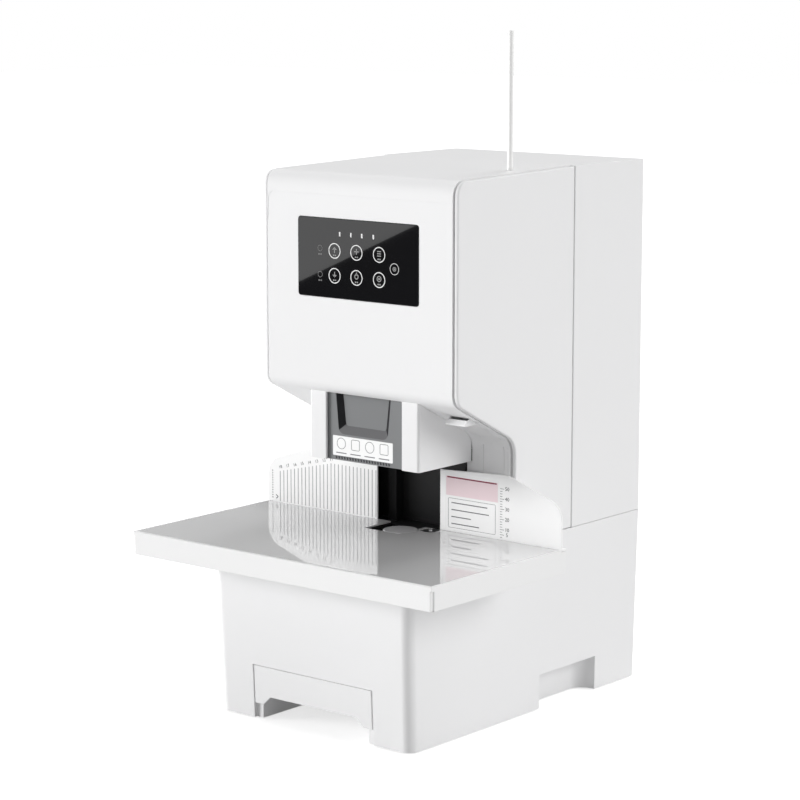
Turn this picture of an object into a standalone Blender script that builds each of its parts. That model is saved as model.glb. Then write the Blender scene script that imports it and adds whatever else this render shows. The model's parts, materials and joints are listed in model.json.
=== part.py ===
# Desk machine that drills a stack of documents and rivets it with a nylon tube.
# Millimetre sizes in Blender's metres, +Z up, origin under the middle of the machine's footprint.
# The head's front faces -Y. Every piece is one closed solid in its own object.
import math

import bmesh
import bpy
from mathutils import Vector

MM = 0.001

# Clearances that several pieces share
SEAT_GAP = 0.3 * MM
RUNNING_GAP = 0.4 * MM
SEAM_GAP = 0.8 * MM
OVERRUN = 5.0 * MM

# Round work: sides of a small pin, of a disc, and steps in a rounded corner
PIN_SIDES = 12
DISC_SIDES = 24
CORNER_STEPS = 4
LEAST_ROUND_SHARE = 0.01

# Whole machine
DEPTH = 423.0 * MM
TABLE_WIDTH = 374.0 * MM
HEAD_WIDTH = 242.0 * MM
TABLE_REACH = 119.4 * MM
DECK_Z = 177.0 * MM
FRONT_Y = -DEPTH / 2
REAR_Y = DEPTH / 2
HEAD_Y = FRONT_Y + TABLE_REACH
HEAD_HALF = HEAD_WIDTH / 2

# Feet
FOOT_PROUD = 1.5 * MM
FOOT_RADIUS = 11.0 * MM
FOOT_STEM_RADIUS = 3.0 * MM
FOOT_STEM_RISE = 4.0 * MM
FOOT_INSET = 17.0 * MM

# Table: folded tray, glossy sheet in it
TRAY_PLATE = 2.9 * MM
SHEET_THICKNESS = 1.5 * MM
SKIRT_DEPTH = 23.3 * MM
SKIRT_WALL = 2.4 * MM
TABLE_RIM = 2.6 * MM
FENCE_REACH = 76.5 * MM
TRAY_REAR_MARGIN = 7.3 * MM
CORNER_SLIT = 1.6 * MM
TRAY_BOTTOM_Z = DECK_Z + SEAT_GAP
TRAY_FLOOR_Z = TRAY_BOTTOM_Z + TRAY_PLATE
SHEET_Z = TRAY_FLOOR_Z + SEAT_GAP
TABLE_Z = SHEET_Z + SHEET_THICKNESS
SKIRT_Z = TABLE_Z - SKIRT_DEPTH
FENCE_Y = HEAD_Y + FENCE_REACH
TRAY_REAR_Y = FENCE_Y + TRAY_REAR_MARGIN
TABLE_HALF = TABLE_WIDTH / 2

# Fences: bent sheet plates with a gap between them
FENCE_GAP = 80.0 * MM
FENCE_SHEET = 2.0 * MM
FENCE_INNER_RISE = 60.1 * MM
FENCE_LEFT_INNER_RISE = 57.6 * MM
FENCE_PEAK_RISE = 63.5 * MM
FENCE_PEAK_REACH = 83.0 * MM
FENCE_PEAK_ROUND = 15.0 * MM
FENCE_TIP_RISE = 41.7 * MM
FENCE_TIP_ROUND = 20.0 * MM

# Head casing
THROAT_CLEAR = 69.5 * MM
CHIN_RISE = 70.8 * MM
THROAT_TOP_RISE = 24.6 * MM
HEAD_RISE = 284.0 * MM
LID_FALL = 4.0 * MM
THROAT_REACH = 90.5 * MM
FRONT_COVER_DEPTH = 183.7 * MM
LID_ROUND = 14.0 * MM
CHIN_ROUND = 15.0 * MM
THROAT_ROUND = 20.0 * MM
COVER_WALL = 3.0 * MM
CHEEK_WALL = 4.0 * MM
CHEEK_EDGE_ROUND = 2.0 * MM
CHEEK_SETBACK = 0.9 * MM
CHEEK_RIB_WIDTH = 5.0 * MM
GROOVE = 2.0 * MM
REAR_CORNER_ROUND = 4.0 * MM
NOSE_Z = TABLE_Z + THROAT_CLEAR
CHIN_Z = NOSE_Z + CHIN_RISE
THROAT_TOP_Z = NOSE_Z + THROAT_TOP_RISE
LID_Z = NOSE_Z + HEAD_RISE
COVER_FOOT_Z = DECK_Z + SEAT_GAP
THROAT_Y = HEAD_Y + THROAT_REACH
SEAM_Y = HEAD_Y + FRONT_COVER_DEPTH
COVER_HALF = HEAD_HALF - CHEEK_WALL - GROOVE

# Rear cover vents and screws
VENT_COUNT = 9
VENT_WIDTH = 92.0 * MM
VENT_HEIGHT = 4.0 * MM
VENT_PITCH = 10.0 * MM
VENT_TOP_DROP = 70.0 * MM
SCREW_RECESS_RADIUS = 4.6 * MM
SCREW_RECESS_DEPTH = 1.6 * MM
SCREW_MARGIN = 20.0 * MM

# Nose shell and the grey guard in it
NOSE_WIDTH = 137.5 * MM
NOSE_SETBACK = 8.0 * MM
NOSE_WALL = 3.0 * MM
NOSE_TOP_RISE = 76.0 * MM
NOSE_BRIDGE_RISE = 66.5 * MM
NOSE_ROUND = 3.0 * MM
GUARD_OPENING = 95.0 * MM
GUARD_LAP = 3.0 * MM
GUARD_SHEET = 2.6 * MM
GUARD_RISE = 80.0 * MM
RECESS_X = -3.2 * MM
RECESS_DEPTH = 4.6 * MM
RECESS_WALL = 1.4 * MM
RECESS_RISE = 26.3 * MM
RECESS_TOP_WIDTH = 73.4 * MM
RECESS_FOOT_WIDTH = 61.2 * MM
RECESS_ROUND = 7.0 * MM
RECESS_SIDE_SLOPE = 5.4 * MM
RECESS_FOOT_SLOPE = 8.0 * MM
RECESS_FLOOR_ROUND = 3.0 * MM
NOSE_HALF = NOSE_WIDTH / 2
NOSE_Y = HEAD_Y + NOSE_SETBACK
GUARD_Y = NOSE_Y + NOSE_WALL + RUNNING_GAP

# Base housing
BASE_FRONT_REACH = 71.5 * MM
BASE_LEFT_STEP = 6.4 * MM
BASE_SIDE_DRAFT = 2.7 * MM
BASE_FRONT_DRAFT = 7.8 * MM
BASE_REAR_DRAFT = 3.0 * MM
BASE_FRONT_ROUND = 11.0 * MM
BASE_REAR_ROUND = 4.0 * MM
BASE_WALL = 3.0 * MM
BASE_FRONT_Y = HEAD_Y - BASE_FRONT_REACH
WELL_SIDE_MARGIN = 16.0 * MM
WELL_REAR_MARGIN = 12.0 * MM
WELL_FRONT_MARGIN = 10.0 * MM
CORNER_FLOOR = 34.0 * MM

# Grip pockets in the base's sides
GRIP_FRONT_REACH = 136.0 * MM
GRIP_LENGTH = 94.0 * MM
GRIP_RISE = 34.5 * MM
GRIP_DEPTH = 22.0 * MM
GRIP_WALL = 2.5 * MM
GRIP_ROUND = 16.0 * MM

# Waste drawer and its tunnel
DRAWER_WIDTH = 149.0 * MM
DRAWER_SIDE_GAP = 1.4 * MM
DRAWER_LOW = 14.9 * MM
DRAWER_RISE = 38.5 * MM
DRAWER_FACE = 2.5 * MM
DRAWER_WALL = 2.0 * MM
DRAWER_LENGTH = 150.0 * MM
DRAWER_SIDE_STEP = 2.6 * MM
DRAWER_FLOOR_RISE = 10.0 * MM
DRAWER_LIP_DROP = 3.0 * MM
DRAWER_PULL_WIDTH = 127.0 * MM
DRAWER_PULL_RISE = 8.6 * MM
DRAWER_PULL_SLANT = 9.0 * MM
TUNNEL_WALL = 2.5 * MM
RAIL_WIDTH = 8.6 * MM
DRAWER_X = -BASE_LEFT_STEP / 2
DRAWER_HALF = DRAWER_WIDTH / 2
DRAWER_Z = FOOT_PROUD + DRAWER_LOW
DRAWER_TOP_Z = DRAWER_Z + DRAWER_RISE
DRAWER_FLOOR_Z = DRAWER_Z + DRAWER_FLOOR_RISE
TUNNEL_TOP_Z = DRAWER_TOP_Z + RUNNING_GAP
TUNNEL_HALF = DRAWER_HALF + DRAWER_SIDE_GAP

# Chassis plate over the tunnel
CHASSIS_SHEET = 3.0 * MM
CHASSIS_SIDE_MARGIN = 13.0 * MM
CHASSIS_FRONT_REACH = 26.0 * MM
CHASSIS_REAR_MARGIN = 30.0 * MM
TUNNEL_WALL_RISE = 6.0 * MM
CHASSIS_Z = TUNNEL_TOP_Z + TUNNEL_WALL_RISE + SEAT_GAP
CHASSIS_TOP_Z = CHASSIS_Z + CHASSIS_SHEET
CHASSIS_FRONT_Y = HEAD_Y + CHASSIS_FRONT_REACH

# Working axes under the nose
DRILL_X = 10.0 * MM
DRILL_REACH = 52.0 * MM
RIVET_X = 36.0 * MM
RIVET_REACH = 66.5 * MM
DRILL_Y = HEAD_Y + DRILL_REACH
RIVET_Y = HEAD_Y + RIVET_REACH

# Cutter pad, rivet anvil and the block that carries them
PAD_RADIUS = 17.3 * MM
PAD_THICKNESS = 10.0 * MM
PAD_CHAMFER = 0.5 * MM
ANVIL_RADIUS = 9.2 * MM
ANVIL_PIN_RADIUS = 1.6 * MM
ANVIL_PIN_RISE = 1.2 * MM
BLOCK_SIDE_MARGIN = 2.0 * MM
BLOCK_Z = TABLE_Z - PAD_THICKNESS - SEAT_GAP
BLOCK_LEFT_X = DRILL_X - PAD_RADIUS + BLOCK_SIDE_MARGIN
BLOCK_RIGHT_X = RIVET_X + ANVIL_RADIUS + BLOCK_SIDE_MARGIN
BLOCK_FRONT_Y = DRILL_Y - PAD_RADIUS - BLOCK_SIDE_MARGIN
BLOCK_REAR_Y = RIVET_Y + ANVIL_RADIUS + BLOCK_SIDE_MARGIN

# Notch in the glossy sheet, and the black throat liner under and behind it
NOTCH_HALF = 22.0 * MM
NOTCH_REACH = 35.0 * MM
LINER_HALF = 62.0 * MM
LINER_SHEET = 2.0 * MM
LINER_DEPTH = 15.0 * MM
LINER_MARGIN = 4.0 * MM
LINER_TOP_RISE = 8.0 * MM
LINER_RIB_X = -38.4 * MM
LINER_RIB_WIDTH = 10.5 * MM
LINER_RIB_DEPTH = 12.0 * MM
SCRAP_HOLE_WIDTH = 11.0 * MM
SCRAP_HOLE_MARGIN = 2.0 * MM
NOTCH_Y = HEAD_Y + NOTCH_REACH
LINER_LEFT_X = -NOTCH_HALF - LINER_MARGIN
LINER_RIGHT_X = BLOCK_RIGHT_X + LINER_MARGIN
LINER_FRONT_Y = min(NOTCH_Y, BLOCK_FRONT_Y) - LINER_MARGIN
LINER_FLOOR_Z = DECK_Z + SEAT_GAP
LINER_TOP_Z = NOSE_Z + LINER_TOP_RISE
LINER_BACK_Y = THROAT_Y + LINER_DEPTH
SCRAP_LEFT_X = -NOTCH_HALF + SCRAP_HOLE_MARGIN
SCRAP_RIGHT_X = SCRAP_LEFT_X + SCRAP_HOLE_WIDTH
CHUTE_SHEET = 1.5 * MM

# Frame: back plate, top arm, nose plate and guide rods
BACK_PLATE_HALF = 50.0 * MM
BACK_PLATE_SHEET = 10.0 * MM
BACK_PLATE_GAP = 3.0 * MM
BACK_FLANGE_DEPTH = 30.0 * MM
BACK_FLANGE_SHEET = 8.0 * MM
ARM_RISE = 188.5 * MM
ARM_THICKNESS = 22.0 * MM
ARM_SIDE_MARGIN = 3.0 * MM
NOSE_PLATE_RISE = 5.5 * MM
NOSE_PLATE_SHEET = 5.0 * MM
NOSE_PLATE_MARGIN = 8.0 * MM
BACK_PLATE_Y = LINER_BACK_Y + BACK_PLATE_GAP
ARM_Z = NOSE_Z + ARM_RISE
ARM_TOP_Z = ARM_Z + ARM_THICKNESS
NOSE_PLATE_Z = NOSE_Z + NOSE_PLATE_RISE
NOSE_PLATE_TOP_Z = NOSE_PLATE_Z + NOSE_PLATE_SHEET
NOSE_INNER_HALF = NOSE_HALF - NOSE_WALL
ARM_FRONT_Y = HEAD_Y + 2 * NOSE_SETBACK + NOSE_PLATE_MARGIN
ROD_RADIUS = 5.0 * MM
ROD_LEFT_X = -48.0 * MM
ROD_LEFT_REACH = 78.0 * MM
ROD_RIGHT_X = 14.0 * MM
ROD_RIGHT_REACH = 82.0 * MM
ROD_LEFT_Y = HEAD_Y + ROD_LEFT_REACH
ROD_RIGHT_Y = HEAD_Y + ROD_RIGHT_REACH

# Drill unit on its carriage
BIT_RADIUS = 3.0 * MM
BIT_LIP = 2.0 * MM
BIT_BORE = 1.8 * MM
BIT_SHANK_RADIUS = 4.5 * MM
BIT_SHANK_LENGTH = 15.0 * MM
BIT_LENGTH = 56.0 * MM
BIT_TIP_RISE = 3.5 * MM
CHUCK_RADIUS = 12.0 * MM
CHUCK_LENGTH = 25.0 * MM
SPINDLE_RADIUS = 8.0 * MM
SPINDLE_TOP = 4.0 * MM
PULLEY_GAP = 3.0 * MM
PULLEY_HEIGHT = 12.0 * MM
PULLEY_FLANGE = 1.2 * MM
PULLEY_LIP = 1.6 * MM
SPINDLE_PULLEY_RADIUS = 15.0 * MM
MOTOR_PULLEY_RADIUS = 11.0 * MM
BELT_THICKNESS = 1.3 * MM
CARRIAGE_THICKNESS = 18.0 * MM
CARRIAGE_MARGIN = 10.0 * MM
BEARING_WALL = 5.0 * MM
BEARING_DROP = 1.0 * MM
DRILL_MOTOR_X = -38.0 * MM
DRILL_MOTOR_REACH = 42.1 * MM
DRILL_MOTOR_RADIUS = 21.0 * MM
DRILL_MOTOR_HEIGHT = 58.0 * MM
DRILL_MOTOR_CAP = 6.0 * MM
MOTOR_SHAFT_RADIUS = 2.5 * MM
MOTOR_PULLEY_BORE = 2.0 * MM
CARRIAGE_GAP = 0.9 * MM
CARRIAGE_RIGHT_MARGIN = 8.0 * MM
BIT_TIP_Z = NOSE_Z + BIT_TIP_RISE
CHUCK_Z = BIT_TIP_Z + BIT_LENGTH
PULLEY_Z = CHUCK_Z + CHUCK_LENGTH + PULLEY_GAP
CARRIAGE_Z = PULLEY_Z + PULLEY_HEIGHT + CARRIAGE_GAP
CARRIAGE_TOP_Z = CARRIAGE_Z + CARRIAGE_THICKNESS
DRILL_MOTOR_Y = HEAD_Y + DRILL_MOTOR_REACH

# Feed screw and its gear motor
FEED_SCREW_X = -16.0 * MM
FEED_SCREW_REACH = 78.0 * MM
SCREW_RADIUS = 4.0 * MM
FEED_MOTOR_RADIUS = 17.0 * MM
FEED_MOTOR_HEIGHT = 44.0 * MM
GEARBOX_SHARE = 0.3
MOTOR_NECK_SHARE = 0.86
FEED_SCREW_Y = HEAD_Y + FEED_SCREW_REACH

# Rivet ram, its heated die, screw and motor
RAM_RADIUS = 6.0 * MM
RAM_LENGTH = 248.0 * MM
DIE_RADIUS = 7.0 * MM
DIE_HEIGHT = 12.0 * MM
DIE_RISE = 4.5 * MM
HEATER_RADIUS = 9.5 * MM
HEATER_HEIGHT = 22.0 * MM
HEATER_DROP = 2.0 * MM
RAM_SCREW_X = 57.0 * MM
RAM_NUT_RISE = 118.0 * MM
RAM_NUT_THICKNESS = 12.0 * MM
RAM_NUT_MARGIN = 2.4 * MM
RAM_NUT_HALF_DEPTH = 8.0 * MM
RAM_MOTOR_RADIUS = 12.5 * MM
RAM_MOTOR_HEIGHT = 40.0 * MM
DIE_Z = NOSE_Z + DIE_RISE
RAM_Z = DIE_Z + DIE_HEIGHT + SEAT_GAP

# Press foot with its two guide pins
FOOT_PLATE_DROP = 2.5 * MM
FOOT_PLATE_SHEET = 5.0 * MM
FOOT_PLATE_LEFT_X = -22.0 * MM
FOOT_PLATE_RIGHT_X = 50.0 * MM
FOOT_PLATE_FRONT_MARGIN = 9.0 * MM
FOOT_PLATE_REAR_GAP = 1.0 * MM
FOOT_BIT_HOLE = 6.0 * MM
FOOT_PIN_RADIUS = 3.0 * MM
FOOT_PIN_RISE = 76.0 * MM
FOOT_PIN_INSET = 7.0 * MM
PRESS_Z = NOSE_Z - FOOT_PLATE_DROP
PRESS_TOP_Z = PRESS_Z + FOOT_PLATE_SHEET
PRESS_FRONT_Y = GUARD_Y + GUARD_SHEET + FOOT_PLATE_FRONT_MARGIN
PRESS_REAR_Y = FENCE_Y - FOOT_PLATE_REAR_GAP

# Nylon tube, its feeder, cutter and outlet chute
TUBE_X = 96.0 * MM
TUBE_REACH = 112.1 * MM
TUBE_RADIUS = 2.8 * MM
TUBE_BORE = 1.9 * MM
TUBE_LENGTH = 241.5 * MM
TUBE_GUIDE_BORE = 3.3 * MM
LID_HOLE_RADIUS = 3.7 * MM
BRACKET_SHEET = 3.0 * MM
BRACKET_LAP = 30.0 * MM
BRACKET_RIGHT_MARGIN = 12.5 * MM
BRACKET_TOP_DROP = 10.0 * MM
GUIDE_HALF = 8.0 * MM
GUIDE_HEIGHT = 38.0 * MM
GUIDE_TOP_DROP = 11.0 * MM
GUIDE_FRONT = 7.0 * MM
DRIVE_ROLLER_RADIUS = 12.0 * MM
PINCH_ROLLER_RADIUS = 5.5 * MM
ROLLER_WIDTH = 10.0 * MM
ROLLER_SHAFT_RADIUS = 2.2 * MM
ROLLER_TOP_DROP = 80.0 * MM
FEEDER_MOTOR_RADIUS = 14.0 * MM
FEEDER_MOTOR_LENGTH = 34.0 * MM
CUTTER_DROP = 111.0 * MM
CUT_OVERHANG = 1.8 * MM
BLADE_SHEET = 2.0 * MM
BLADE_PLAY = 0.7 * MM
BLADE_HALF = 6.0 * MM
BLADE_LENGTH = 22.0 * MM
BLADE_EDGE_GAP = 2.2 * MM
BLADE_TRAVEL = 10.0 * MM
RETURN_SPRING_ROOM = 11.0 * MM
PLUNGER_RADIUS = 3.5 * MM
PLUNGER_LENGTH = 32.0 * MM
DIE_BLOCK_HEIGHT = 15.0 * MM
DIE_BLOCK_HALF = 10.0 * MM
CUTTER_GUIDE_HEIGHT = 10.0 * MM
CUTTER_SHELF = 4.0 * MM
CUTTER_SHELF_HALF = 12.0 * MM
CUTTER_SHELF_DEPTH = 84.0 * MM
SOLENOID_LENGTH = 30.0 * MM
SOLENOID_HEIGHT = 22.0 * MM
SOLENOID_HALF = 11.0 * MM
TUBE_Y = HEAD_Y + TUBE_REACH
BRACKET_Y = BACK_PLATE_Y + BACK_PLATE_SHEET + SEAT_GAP
BRACKET_TOP_Z = LID_Z - BRACKET_TOP_DROP
ROLLER_Z = LID_Z - ROLLER_TOP_DROP
CUT_Z = LID_Z - CUTTER_DROP
DIE_BLOCK_Z = CUT_Z - CUT_OVERHANG
BLADE_Z = DIE_BLOCK_Z - BLADE_PLAY - BLADE_SHEET
CUTTER_GUIDE_Z = BLADE_Z - BLADE_PLAY - CUTTER_GUIDE_HEIGHT
CUTTER_SHELF_Z = CUTTER_GUIDE_Z - CUTTER_SHELF
BRACKET_Z = CUTTER_SHELF_Z + CUTTER_SHELF / 2
BLADE_EDGE_Y = TUBE_Y - TUBE_RADIUS - BLADE_EDGE_GAP

# Outlet chute: a trough that ends in the small lip under the chin
CHUTE_HALF = 12.0 * MM
CHUTE_SIDE_STEP = 1.6 * MM
CHUTE_WALL = 1.5 * MM
LIP_REACH = 27.0 * MM
LIP_DROP = 24.3 * MM
RAMP_RUN = 4.0 * MM
RAMP_RISE = 3.8 * MM
LIP_REAR_GAP = 5.2 * MM
SLOT_FRONT_REACH = 33.6 * MM
SLOT_REAR_REACH = 47.9 * MM
CHUTE_BACK_RISE = 54.0 * MM
CHUTE_BACK_MARGIN = 8.0 * MM
CHUTE_WALL_RISE = 17.0 * MM
LIP_Z = CHIN_Z - LIP_DROP
LIP_Y = HEAD_Y + LIP_REACH
SLOT_FRONT_Y = HEAD_Y + SLOT_FRONT_REACH
SLOT_REAR_Y = HEAD_Y + SLOT_REAR_REACH
CHUTE_X = TUBE_X + CHUTE_SIDE_STEP

# Control panel
PANEL_WIDTH = 150.2 * MM
PANEL_HEIGHT = 76.6 * MM
PANEL_RISE = 89.6 * MM
PANEL_ROUND = 3.0 * MM
GLASS_THICKNESS = 3.4 * MM
GLASS_PROUD = 0.4 * MM
BOARD_SHEET = 1.6 * MM
BOARD_MARGIN = 4.0 * MM
PANEL_Z = CHIN_Z + PANEL_RISE

# Electronics
MAIN_BOARD_HALF = 42.0 * MM
MAIN_BOARD_RISE = 26.0 * MM
MAIN_BOARD_HEIGHT = 130.0 * MM
STANDOFF_LENGTH = 8.0 * MM
STANDOFF_RADIUS = 3.0 * MM
STANDOFF_INSET = 6.0 * MM
CHIP_SIZE = 24.0 * MM
CHIP_HEIGHT = 3.0 * MM
RELAY_HEIGHT = 16.0 * MM
SUPPLY_WIDTH = 100.0 * MM
SUPPLY_FRONT_GAP = 27.1 * MM
SUPPLY_HEIGHT = 42.0 * MM
SUPPLY_REAR_MARGIN = 32.0 * MM
SUPPLY_X = -46.0 * MM

# Power inlet and rocker switch in the base's rear wall
INLET_X = 64.0 * MM
INLET_RISE = 40.0 * MM
INLET_WIDTH = 27.6 * MM
INLET_HEIGHT = 20.0 * MM
INLET_DEPTH = 22.0 * MM
INLET_FLANGE = 3.2 * MM
INLET_FLANGE_SHEET = 1.5 * MM
INLET_WALL = 1.8 * MM
INLET_PIN_RADIUS = 1.6 * MM
INLET_PIN_SHARES = ((-0.25, -0.1), (0.0, 0.15), (0.25, -0.1))
SWITCH_X = 22.0 * MM
SWITCH_WIDTH = 22.0 * MM
SWITCH_HEIGHT = 30.0 * MM
SWITCH_DEPTH = 16.0 * MM
SWITCH_FLANGE = 1.8 * MM
SWITCH_WALL = 1.6 * MM
ROCKER_GAP = 0.8 * MM
ROCKER_DEPTH = 8.0 * MM
ROCKER_PROUD = 0.6 * MM
ROCKER_DIP = 3.0 * MM


# Scene and materials

for old in list(bpy.data.objects):
    bpy.data.objects.remove(old, do_unlink=True)


def finish(name, colour, roughness, metallic=0.0):
    """A plain Principled material."""
    mat = bpy.data.materials.new(name)
    mat.use_nodes = True
    shader = mat.node_tree.nodes["Principled BSDF"]
    shader.inputs["Base Color"].default_value = (*colour, 1.0)
    shader.inputs["Roughness"].default_value = roughness
    shader.inputs["Metallic"].default_value = metallic
    return mat


WHITE_ABS = finish("white_abs", (0.86, 0.86, 0.87), 0.42)
WHITE_SHEET = finish("white_powder_coat", (0.88, 0.88, 0.88), 0.38)
GLOSS_SHEET = finish("glossy_table_sheet", (0.50, 0.50, 0.51), 0.08)
BLACK_ABS = finish("black_abs", (0.02, 0.02, 0.021), 0.5)
GREY_ABS = finish("grey_abs", (0.21, 0.215, 0.22), 0.48)
BLACK_GLASS = finish("black_glass", (0.012, 0.012, 0.014), 0.06)
RUBBER = finish("black_rubber", (0.03, 0.03, 0.03), 0.85)
STEEL = finish("ground_steel", (0.62, 0.62, 0.63), 0.28, 1.0)
ZINC = finish("zinc_sheet", (0.66, 0.67, 0.68), 0.4, 1.0)
ALUMINIUM = finish("milled_aluminium", (0.74, 0.75, 0.76), 0.35, 1.0)
BRASS = finish("brass", (0.72, 0.55, 0.25), 0.32, 1.0)
MOTOR_CAN = finish("motor_can", (0.45, 0.46, 0.47), 0.4, 1.0)
NYLON = finish("white_nylon", (0.9, 0.9, 0.88), 0.35)
BOARD_GREEN = finish("circuit_board", (0.02, 0.16, 0.07), 0.45)


# Outlines: lists of corners (across, up, radius), counter-clockwise

def turn(before, here, after):
    """Positive where a counter-clockwise outline turns left, that is at a convex corner."""
    return ((here[0] - before[0]) * (after[1] - here[1])
            - (here[1] - before[1]) * (after[0] - here[0]))


def rounded(corners, steps=CORNER_STEPS):
    """Points of an outline with arcs at the corners that have a radius."""
    points = []
    count = len(corners)
    for index, (u, v, radius) in enumerate(corners):
        here = Vector((u, v))
        if radius <= 0:
            points.append(here)
            continue
        back = (Vector(corners[index - 1][:2]) - here).normalized()
        ahead = (Vector(corners[(index + 1) % count][:2]) - here).normalized()
        half_angle = back.angle(ahead) / 2
        centre = here + (back + ahead).normalized() * (radius / math.sin(half_angle))
        start = here + back * (radius / math.tan(half_angle)) - centre
        end = here + ahead * (radius / math.tan(half_angle)) - centre
        first = math.atan2(start.y, start.x)
        swing = math.atan2(end.y, end.x) - first
        swing = (swing + math.pi) % (2 * math.pi) - math.pi
        for step in range(steps + 1):
            angle = first + swing * step / steps
            points.append(centre + Vector((math.cos(angle), math.sin(angle))) * radius)
    return points


def inset(corners, distance):
    """The same corners moved inwards, with radii that keep an even wall."""
    moved = []
    count = len(corners)
    for index, (u, v, radius) in enumerate(corners):
        here = Vector((u, v))
        before = Vector(corners[index - 1][:2])
        after = Vector(corners[(index + 1) % count][:2])
        side_in = (here - before).normalized()
        side_out = (after - here).normalized()
        normal_in = Vector((-side_in.y, side_in.x))
        normal_out = Vector((-side_out.y, side_out.x))
        bisector = normal_in + normal_out
        shift = bisector * (2 * distance / bisector.length_squared)
        if radius > 0:
            convex = turn(before, here, after) > 0
            radius = max(radius - distance, radius * LEAST_ROUND_SHARE) if convex else radius + distance
        moved.append((here.x + shift.x, here.y + shift.y, radius))
    return moved


def rectangle(left, low, right, high, radius=0.0):
    """Corners of an upright rectangle."""
    return [(left, low, radius), (right, low, radius), (right, high, radius), (left, high, radius)]


def circle(centre, radius, sides):
    """Points of a circle in its plane."""
    return [Vector((centre[0] + radius * math.cos(2 * math.pi * step / sides),
                    centre[1] + radius * math.sin(2 * math.pi * step / sides)))
            for step in range(sides)]


# Solids

def place(axis, along, point):
    """A point of an outline set at a place along its axis; outlines read (y, z), (x, z) or (x, y)."""
    u, v = point
    return {"X": Vector((along, u, v)), "Y": Vector((u, along, v)), "Z": Vector((u, v, along))}[axis]


def solid(name, rings, material, closed=False, smooth_degrees=35.0):
    """One body through rings with equal point counts, capped at both ends or closed on itself."""
    shape = bmesh.new()
    loops = [[shape.verts.new(point) for point in ring] for ring in rings]
    count = len(loops[0])
    pairs = list(zip(loops, loops[1:]))
    if closed:
        pairs.append((loops[-1], loops[0]))
    else:
        shape.faces.new(list(reversed(loops[0])))
        shape.faces.new(loops[-1])
    for low, high in pairs:
        for index in range(count):
            following = (index + 1) % count
            shape.faces.new((low[index], low[following], high[following], high[index]))
    bmesh.ops.recalc_face_normals(shape, faces=shape.faces)
    mesh = bpy.data.meshes.new(name)
    shape.to_mesh(mesh)
    shape.free()
    mesh.materials.append(material)
    mesh.shade_smooth()
    mesh.set_sharp_from_angle(angle=math.radians(smooth_degrees))
    made = bpy.data.objects.new(name, mesh)
    bpy.context.scene.collection.objects.link(made)
    return made


def prism(name, points, axis, low, high, material):
    """An outline's points extruded along an axis."""
    rings = [[place(axis, along, point) for point in points] for along in (low, high)]
    return solid(name, rings, material)


def ring(name, outer, inner, axis, low, high, material):
    """The band between two outlines with equal point counts, extruded along an axis."""
    rings = [[place(axis, low, point) for point in outer], [place(axis, high, point) for point in outer],
             [place(axis, high, point) for point in inner], [place(axis, low, point) for point in inner]]
    return solid(name, rings, material, closed=True)


def box(name, low, high, material):
    """A block between two opposite corners."""
    outline = [Vector(corner[:2]) for corner in rectangle(low[0], low[1], high[0], high[1])]
    return prism(name, outline, "Z", low[2], high[2], material)


def disc(name, centre, axis, profile, material, sides=DISC_SIDES):
    """A turned solid: profile is (place along the axis, radius), end to end."""
    rings = [[place(axis, along, point) for point in circle(centre, radius, sides)]
             for along, radius in profile]
    return solid(name, rings, material)


def bush(name, centre, axis, outer, inner, low, high, material, sides=DISC_SIDES):
    """A plain round sleeve."""
    return ring(name, circle(centre, outer, sides), circle(centre, inner, sides), axis, low, high, material)


def combine(target, tools, operation):
    """Apply exact Booleans to a solid and drop the tools."""
    for tool in tools:
        step = target.modifiers.new("shape", "BOOLEAN")
        step.operation = operation
        step.solver = "EXACT"
        step.object = tool
    graph = bpy.context.evaluated_depsgraph_get()
    shaped = bpy.data.meshes.new_from_object(target.evaluated_get(graph))
    target.modifiers.clear()
    target.data = shaped
    for tool in tools:
        bpy.data.objects.remove(tool, do_unlink=True)
    return target


def cut(target, *tools):
    return combine(target, tools, "DIFFERENCE")


def join(target, *tools):
    return combine(target, tools, "UNION")


def hole(centre, axis, radius, low, high, sides=DISC_SIDES):
    """A cutter for a round hole."""
    return disc("hole", centre, axis, [(low, radius), (high, radius)], STEEL, sides)


def block(low, high):
    """A cutter or an added block."""
    return box("block", low, high, STEEL)


def mirrored_outline(points):
    """An outline's points mirrored across the machine's middle plane, still counter-clockwise."""
    return [Vector((-point.x, point.y)) for point in reversed(points)]


# Base: housing, feet, chassis plate, drawer

def base_half(side):
    """From the middle to the housing's side wall at the deck; the left one steps out from the head."""
    return HEAD_HALF + (BASE_LEFT_STEP if side < 0 else 0.0)


def base_corners(level):
    """The housing's plan at a height; its walls lean in towards the floor."""
    lean = (DECK_Z - level) / (DECK_Z - FOOT_PROUD)
    left, right = (base_half(side) - BASE_SIDE_DRAFT * lean for side in (-1, 1))
    front = BASE_FRONT_Y + BASE_FRONT_DRAFT * lean
    rear = REAR_Y - BASE_REAR_DRAFT * lean
    return [(-left, front, BASE_FRONT_ROUND), (right, front, BASE_FRONT_ROUND),
            (right, rear, BASE_REAR_ROUND), (-left, rear, BASE_REAR_ROUND)]


def grip_corners(side, margin):
    """Plan of a grip pocket, or of its wall with a margin, on one side of the housing."""
    front = HEAD_Y + GRIP_FRONT_REACH - margin
    rear = front + GRIP_LENGTH + 2 * margin
    inner = base_half(side) - GRIP_DEPTH - margin
    outer = base_half(side) + (OVERRUN if margin == 0 else -BASE_WALL)
    corners = [(inner, front, 0.0), (outer, front, 0.0), (outer, rear, 0.0),
               (inner, rear, GRIP_ROUND + margin)]
    if side > 0:
        return corners
    return [(-u, v, radius) for u, v, radius in reversed(corners)]


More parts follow.
